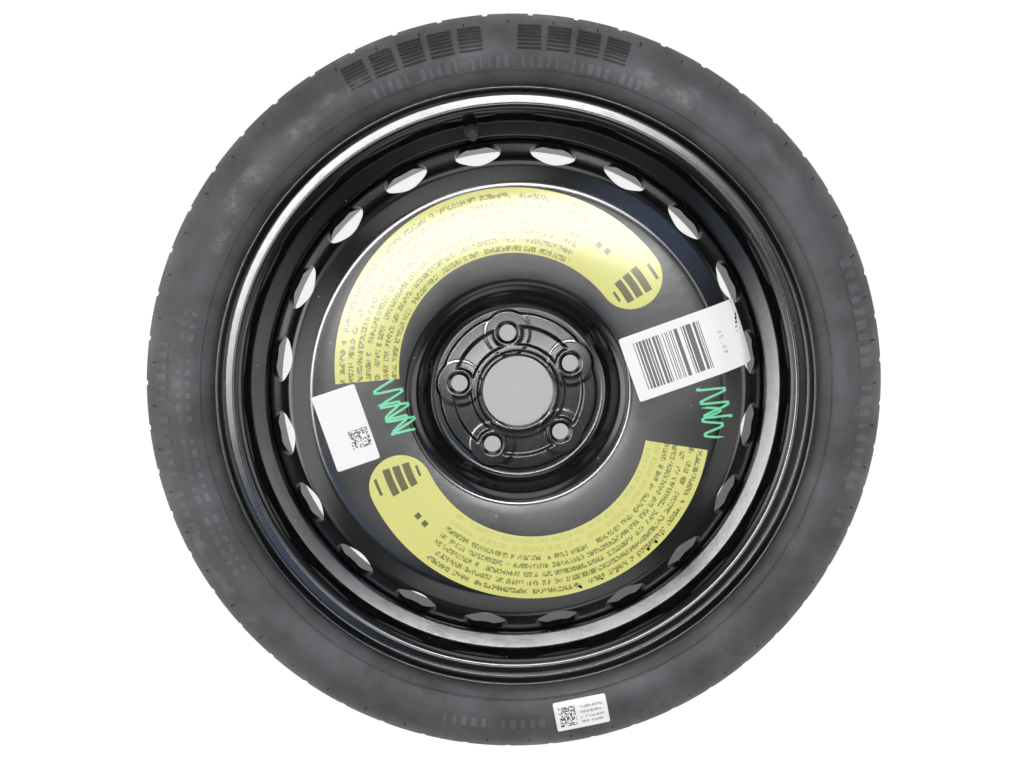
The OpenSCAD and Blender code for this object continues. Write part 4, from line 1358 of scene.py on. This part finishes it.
# Soft glows of the room, as gloss sees them: direction on the plane, half sizes, turn in degrees,
# softness, strength and colour
PLAIN, COOL, WARM = (1.0, 1.0, 1.0), (0.55, 0.8, 1.3), (1.1, 1.0, 0.88)
GLOWS = (
    ((-0.02, 0.06), (0.24, 0.19), 0, 0.6, 1.7, PLAIN),
    ((-0.15, 0.01), (0.11, 0.08), 0, 0.5, 2.6, WARM),
    ((0.035, -0.030), (0.088, 0.029), 17, 0.14, 17.0, PLAIN),
    ((-0.19, -0.24), (0.12, 0.10), 0, 0.7, 1.6, COOL),
    ((-0.60, -0.18), (0.14, 0.36), -10, 0.5, 2.8, PLAIN),
    ((-0.16, 0.50), (0.26, 0.09), 15, 0.5, 1.9, PLAIN),
    ((0.42, 0.40), (0.20, 0.16), -45, 0.6, 1.1, COOL),
    ((0.60, -0.20), (0.13, 0.18), 15, 0.5, 1.3, PLAIN),
    ((0.06, -0.63), (0.34, 0.10), 0, 0.5, 1.8, PLAIN),
    ((-0.78, 0.42), (0.20, 0.20), 0, 0.7, 0.8, PLAIN),
    ((0.30, -0.90), (0.35, 0.09), 15, 0.6, 1.4, PLAIN),
    ((-0.89, -0.05), (0.13, 0.42), 0, 0.5, 5.0, PLAIN),
    ((0.00, 0.88), (0.50, 0.13), 0, 0.5, 2.2, PLAIN),
    ((0.90, -0.05), (0.13, 0.40), 0, 0.5, 2.6, PLAIN),
)
ROOM_LIGHT, DULL_LIGHT = 0.22, 1.22

# The curved strip lamp: middle and radius in directions, half width, strength and its weaker tail
STRIP_CENTRE, STRIP_RADIUS, STRIP_HALF = (0.038, -0.09), 0.382, 0.042
STRIP_LIGHT, STRIP_TAIL = 48.0, 7.0


# Glow of the floor under the vents, outside the wheel and under the hub; the stronger glow under the
# vents is painted light where the wheel's shade falls
FLOOR_PAINTED_LIGHT_UNDER, FLOOR_OUTSIDE, FLOOR_MIDDLE = 0.85, 0.42, 0.40


def floor_finish(base):
    """Pale floor that keeps the wheel's shadow and stays bright in view and in reflections, with a
    painted pool of light under the vents.
    """
    material, tree, shader = new_material("pale floor with painted light", base, 0.9, specular=0.1)
    paths = put(tree, "ShaderNodeLightPath")
    seen = calc(tree, "SUBTRACT", 1.0, paths.outputs["Is Diffuse Ray"])
    around = use_group(tree, groups()["polar"], Centre_X=0.0, Centre_Y=0.0)
    glow = put(tree, "ShaderNodeEmission")
    radius = around.outputs["Radius"]
    # Painted light: the floor glows more under the wheel's vents, where its shade falls, than outside the
    # wheel
    strength = calc(tree, "MINIMUM", ramp(tree, radius, 0.27, 0.33, FLOOR_PAINTED_LIGHT_UNDER, FLOOR_OUTSIDE),
                    ramp(tree, radius, 0.07, 0.19, FLOOR_MIDDLE, FLOOR_PAINTED_LIGHT_UNDER))
    feed(tree, glow.inputs["Strength"], times(tree, seen, strength))
    added = put(tree, "ShaderNodeAddShader")
    tree.links.new(shader.outputs[0], added.inputs[0])
    tree.links.new(glow.outputs[0], added.inputs[1])
    tree.links.new(added.outputs[0], tree.nodes["Material Output"].inputs["Surface"])
    return material


def glow_light(tree, x, y, glow):
    """One soft patch of light in the directions of the room."""
    centre, half, turn, soft, strength, tint = glow
    away = [calc(tree, "SUBTRACT", a, b) for a, b in zip((x, y), centre)]
    c, s = math.cos(math.radians(turn)), math.sin(math.radians(turn))
    along = calc(tree, "ADD", times(tree, away[0], c / half[0]),
                 times(tree, away[1], s / half[0]))
    across = calc(tree, "ADD", times(tree, away[0], -s / half[1]),
                  times(tree, away[1], c / half[1]))
    off = calc(tree, "SQRT", calc(tree, "ADD", times(tree, along, along),
                                  times(tree, across, across)))
    return scaled(tree, tint, ramp(tree, off, 1 + soft, 1 - soft, 0.0, strength))


def scaled(tree, tint, amount):
    """A colour times a value."""
    made = put(tree, "ShaderNodeVectorMath", operation="SCALE")
    made.inputs[0].default_value = tint
    feed(tree, made.inputs["Scale"], amount)
    return made.outputs[0]


def strip_light(tree, x, y):
    """The long curved lamp that the rim's flange mirrors."""
    away = [calc(tree, "SUBTRACT", a, b) for a, b in zip((x, y), STRIP_CENTRE)]
    far = calc(tree, "SQRT", calc(tree, "ADD", times(tree, away[0], away[0]),
                                  times(tree, away[1], away[1])))
    clock = calc(tree, "ARCTAN2", away[0], away[1])
    near = ramp(tree, calc(tree, "ABSOLUTE", calc(tree, "SUBTRACT", far, STRIP_RADIUS)),
                STRIP_HALF * 1.3, STRIP_HALF * 0.7)
    main = times(tree, ramp(tree, clock, math.radians(-122), math.radians(-62)),
                 ramp(tree, clock, math.radians(48), math.radians(8), 0.0, STRIP_LIGHT))
    tail = ramp(tree, clock, math.radians(140), math.radians(30), 0.0, STRIP_TAIL)
    after = times(tree, tail, ramp(tree, clock, math.radians(-20), math.radians(10)))
    return times(tree, near, calc(tree, "ADD", main, after))


def studio_world(scene):
    """White to the camera, even light for dull surfaces and a room with soft lamps for gloss."""
    world = bpy.data.worlds.new("studio")
    scene.world = world
    world.use_nodes = True
    world.cycles.sampling_method = "NONE"
    tree = world.node_tree
    tree.nodes.clear()
    coords = put(tree, "ShaderNodeTexCoord")
    split = put(tree, "ShaderNodeSeparateXYZ")
    tree.links.new(coords.outputs["Generated"], split.inputs[0])
    x, y = split.outputs[:2]
    total = scaled(tree, PLAIN, calc(tree, "ADD", strip_light(tree, x, y), ROOM_LIGHT))
    for glow in GLOWS:
        added = put(tree, "ShaderNodeVectorMath", operation="ADD")
        tree.links.new(total, added.inputs[0])
        tree.links.new(glow_light(tree, x, y, glow), added.inputs[1])
        total = added.outputs[0]
    room, dull, white = (put(tree, "ShaderNodeBackground") for _ in range(3))
    tree.links.new(total, room.inputs["Color"])
    dull.inputs["Strength"].default_value = DULL_LIGHT
    white.inputs["Color"].default_value = (1, 1, 1, 1)
    paths = put(tree, "ShaderNodeLightPath")
    lit = put(tree, "ShaderNodeMixShader")
    feed(tree, lit.inputs[0], paths.outputs["Is Diffuse Ray"])
    tree.links.new(room.outputs[0], lit.inputs[1])
    tree.links.new(dull.outputs[0], lit.inputs[2])
    seen = put(tree, "ShaderNodeMixShader")
    feed(tree, seen.inputs[0], paths.outputs["Is Camera Ray"])
    tree.links.new(lit.outputs[0], seen.inputs[1])
    tree.links.new(white.outputs[0], seen.inputs[2])
    out = put(tree, "ShaderNodeOutputWorld")
    tree.links.new(seen.outputs[0], out.inputs[0])


class WheelSizes(bpy.types.PropertyGroup):
    """All sizes, colours and stage settings of the wheel"""

    tyre: bpy.props.PointerProperty(type=TyreSizes)
    rim: bpy.props.PointerProperty(type=RimSizes)
    disc: bpy.props.PointerProperty(type=DiscSizes)
    films: bpy.props.PointerProperty(type=FilmSizes)
    colours: bpy.props.PointerProperty(type=FinishColours)
    stage: bpy.props.PointerProperty(type=StageSettings)


OPERATORS = (WHEEL_OT_tyre, WHEEL_OT_marks, WHEEL_OT_rim, WHEEL_OT_disc, WHEEL_OT_valve,
             WHEEL_OT_stickers, WHEEL_OT_labels, WHEEL_OT_stage)


class WHEEL_PT_panel(bpy.types.Panel):
    """Lists the wheel's pieces"""

    bl_idname = "WHEEL_PT_panel"
    bl_label = "Spare wheel"
    bl_space_type = "VIEW_3D"
    bl_region_type = "UI"
    bl_category = "Spare wheel"

    def draw(self, context):
        for operator in OPERATORS:
            self.layout.operator(operator.bl_idname)


CLASSES = (TyreSizes, RimSizes, DiscSizes, FilmSizes, FinishColours, StageSettings, WheelSizes,
           *OPERATORS, WHEEL_PT_panel)


def register():
    for item in CLASSES:
        bpy.utils.register_class(item)
    bpy.types.Scene.wheel_sizes = bpy.props.PointerProperty(type=WheelSizes)


def unregister():
    del bpy.types.Scene.wheel_sizes
    for item in reversed(CLASSES):
        bpy.utils.unregister_class(item)


def main():
    register()
    bpy.ops.wheel.stage()
    bpy.ops.wheel.tyre()
    bpy.ops.wheel.marks()
    bpy.ops.wheel.rim()
    bpy.ops.wheel.disc()
    bpy.ops.wheel.valve()
    bpy.ops.wheel.stickers()
    bpy.ops.wheel.labels()
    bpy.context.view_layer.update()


if __name__ == "__main__":
    main()
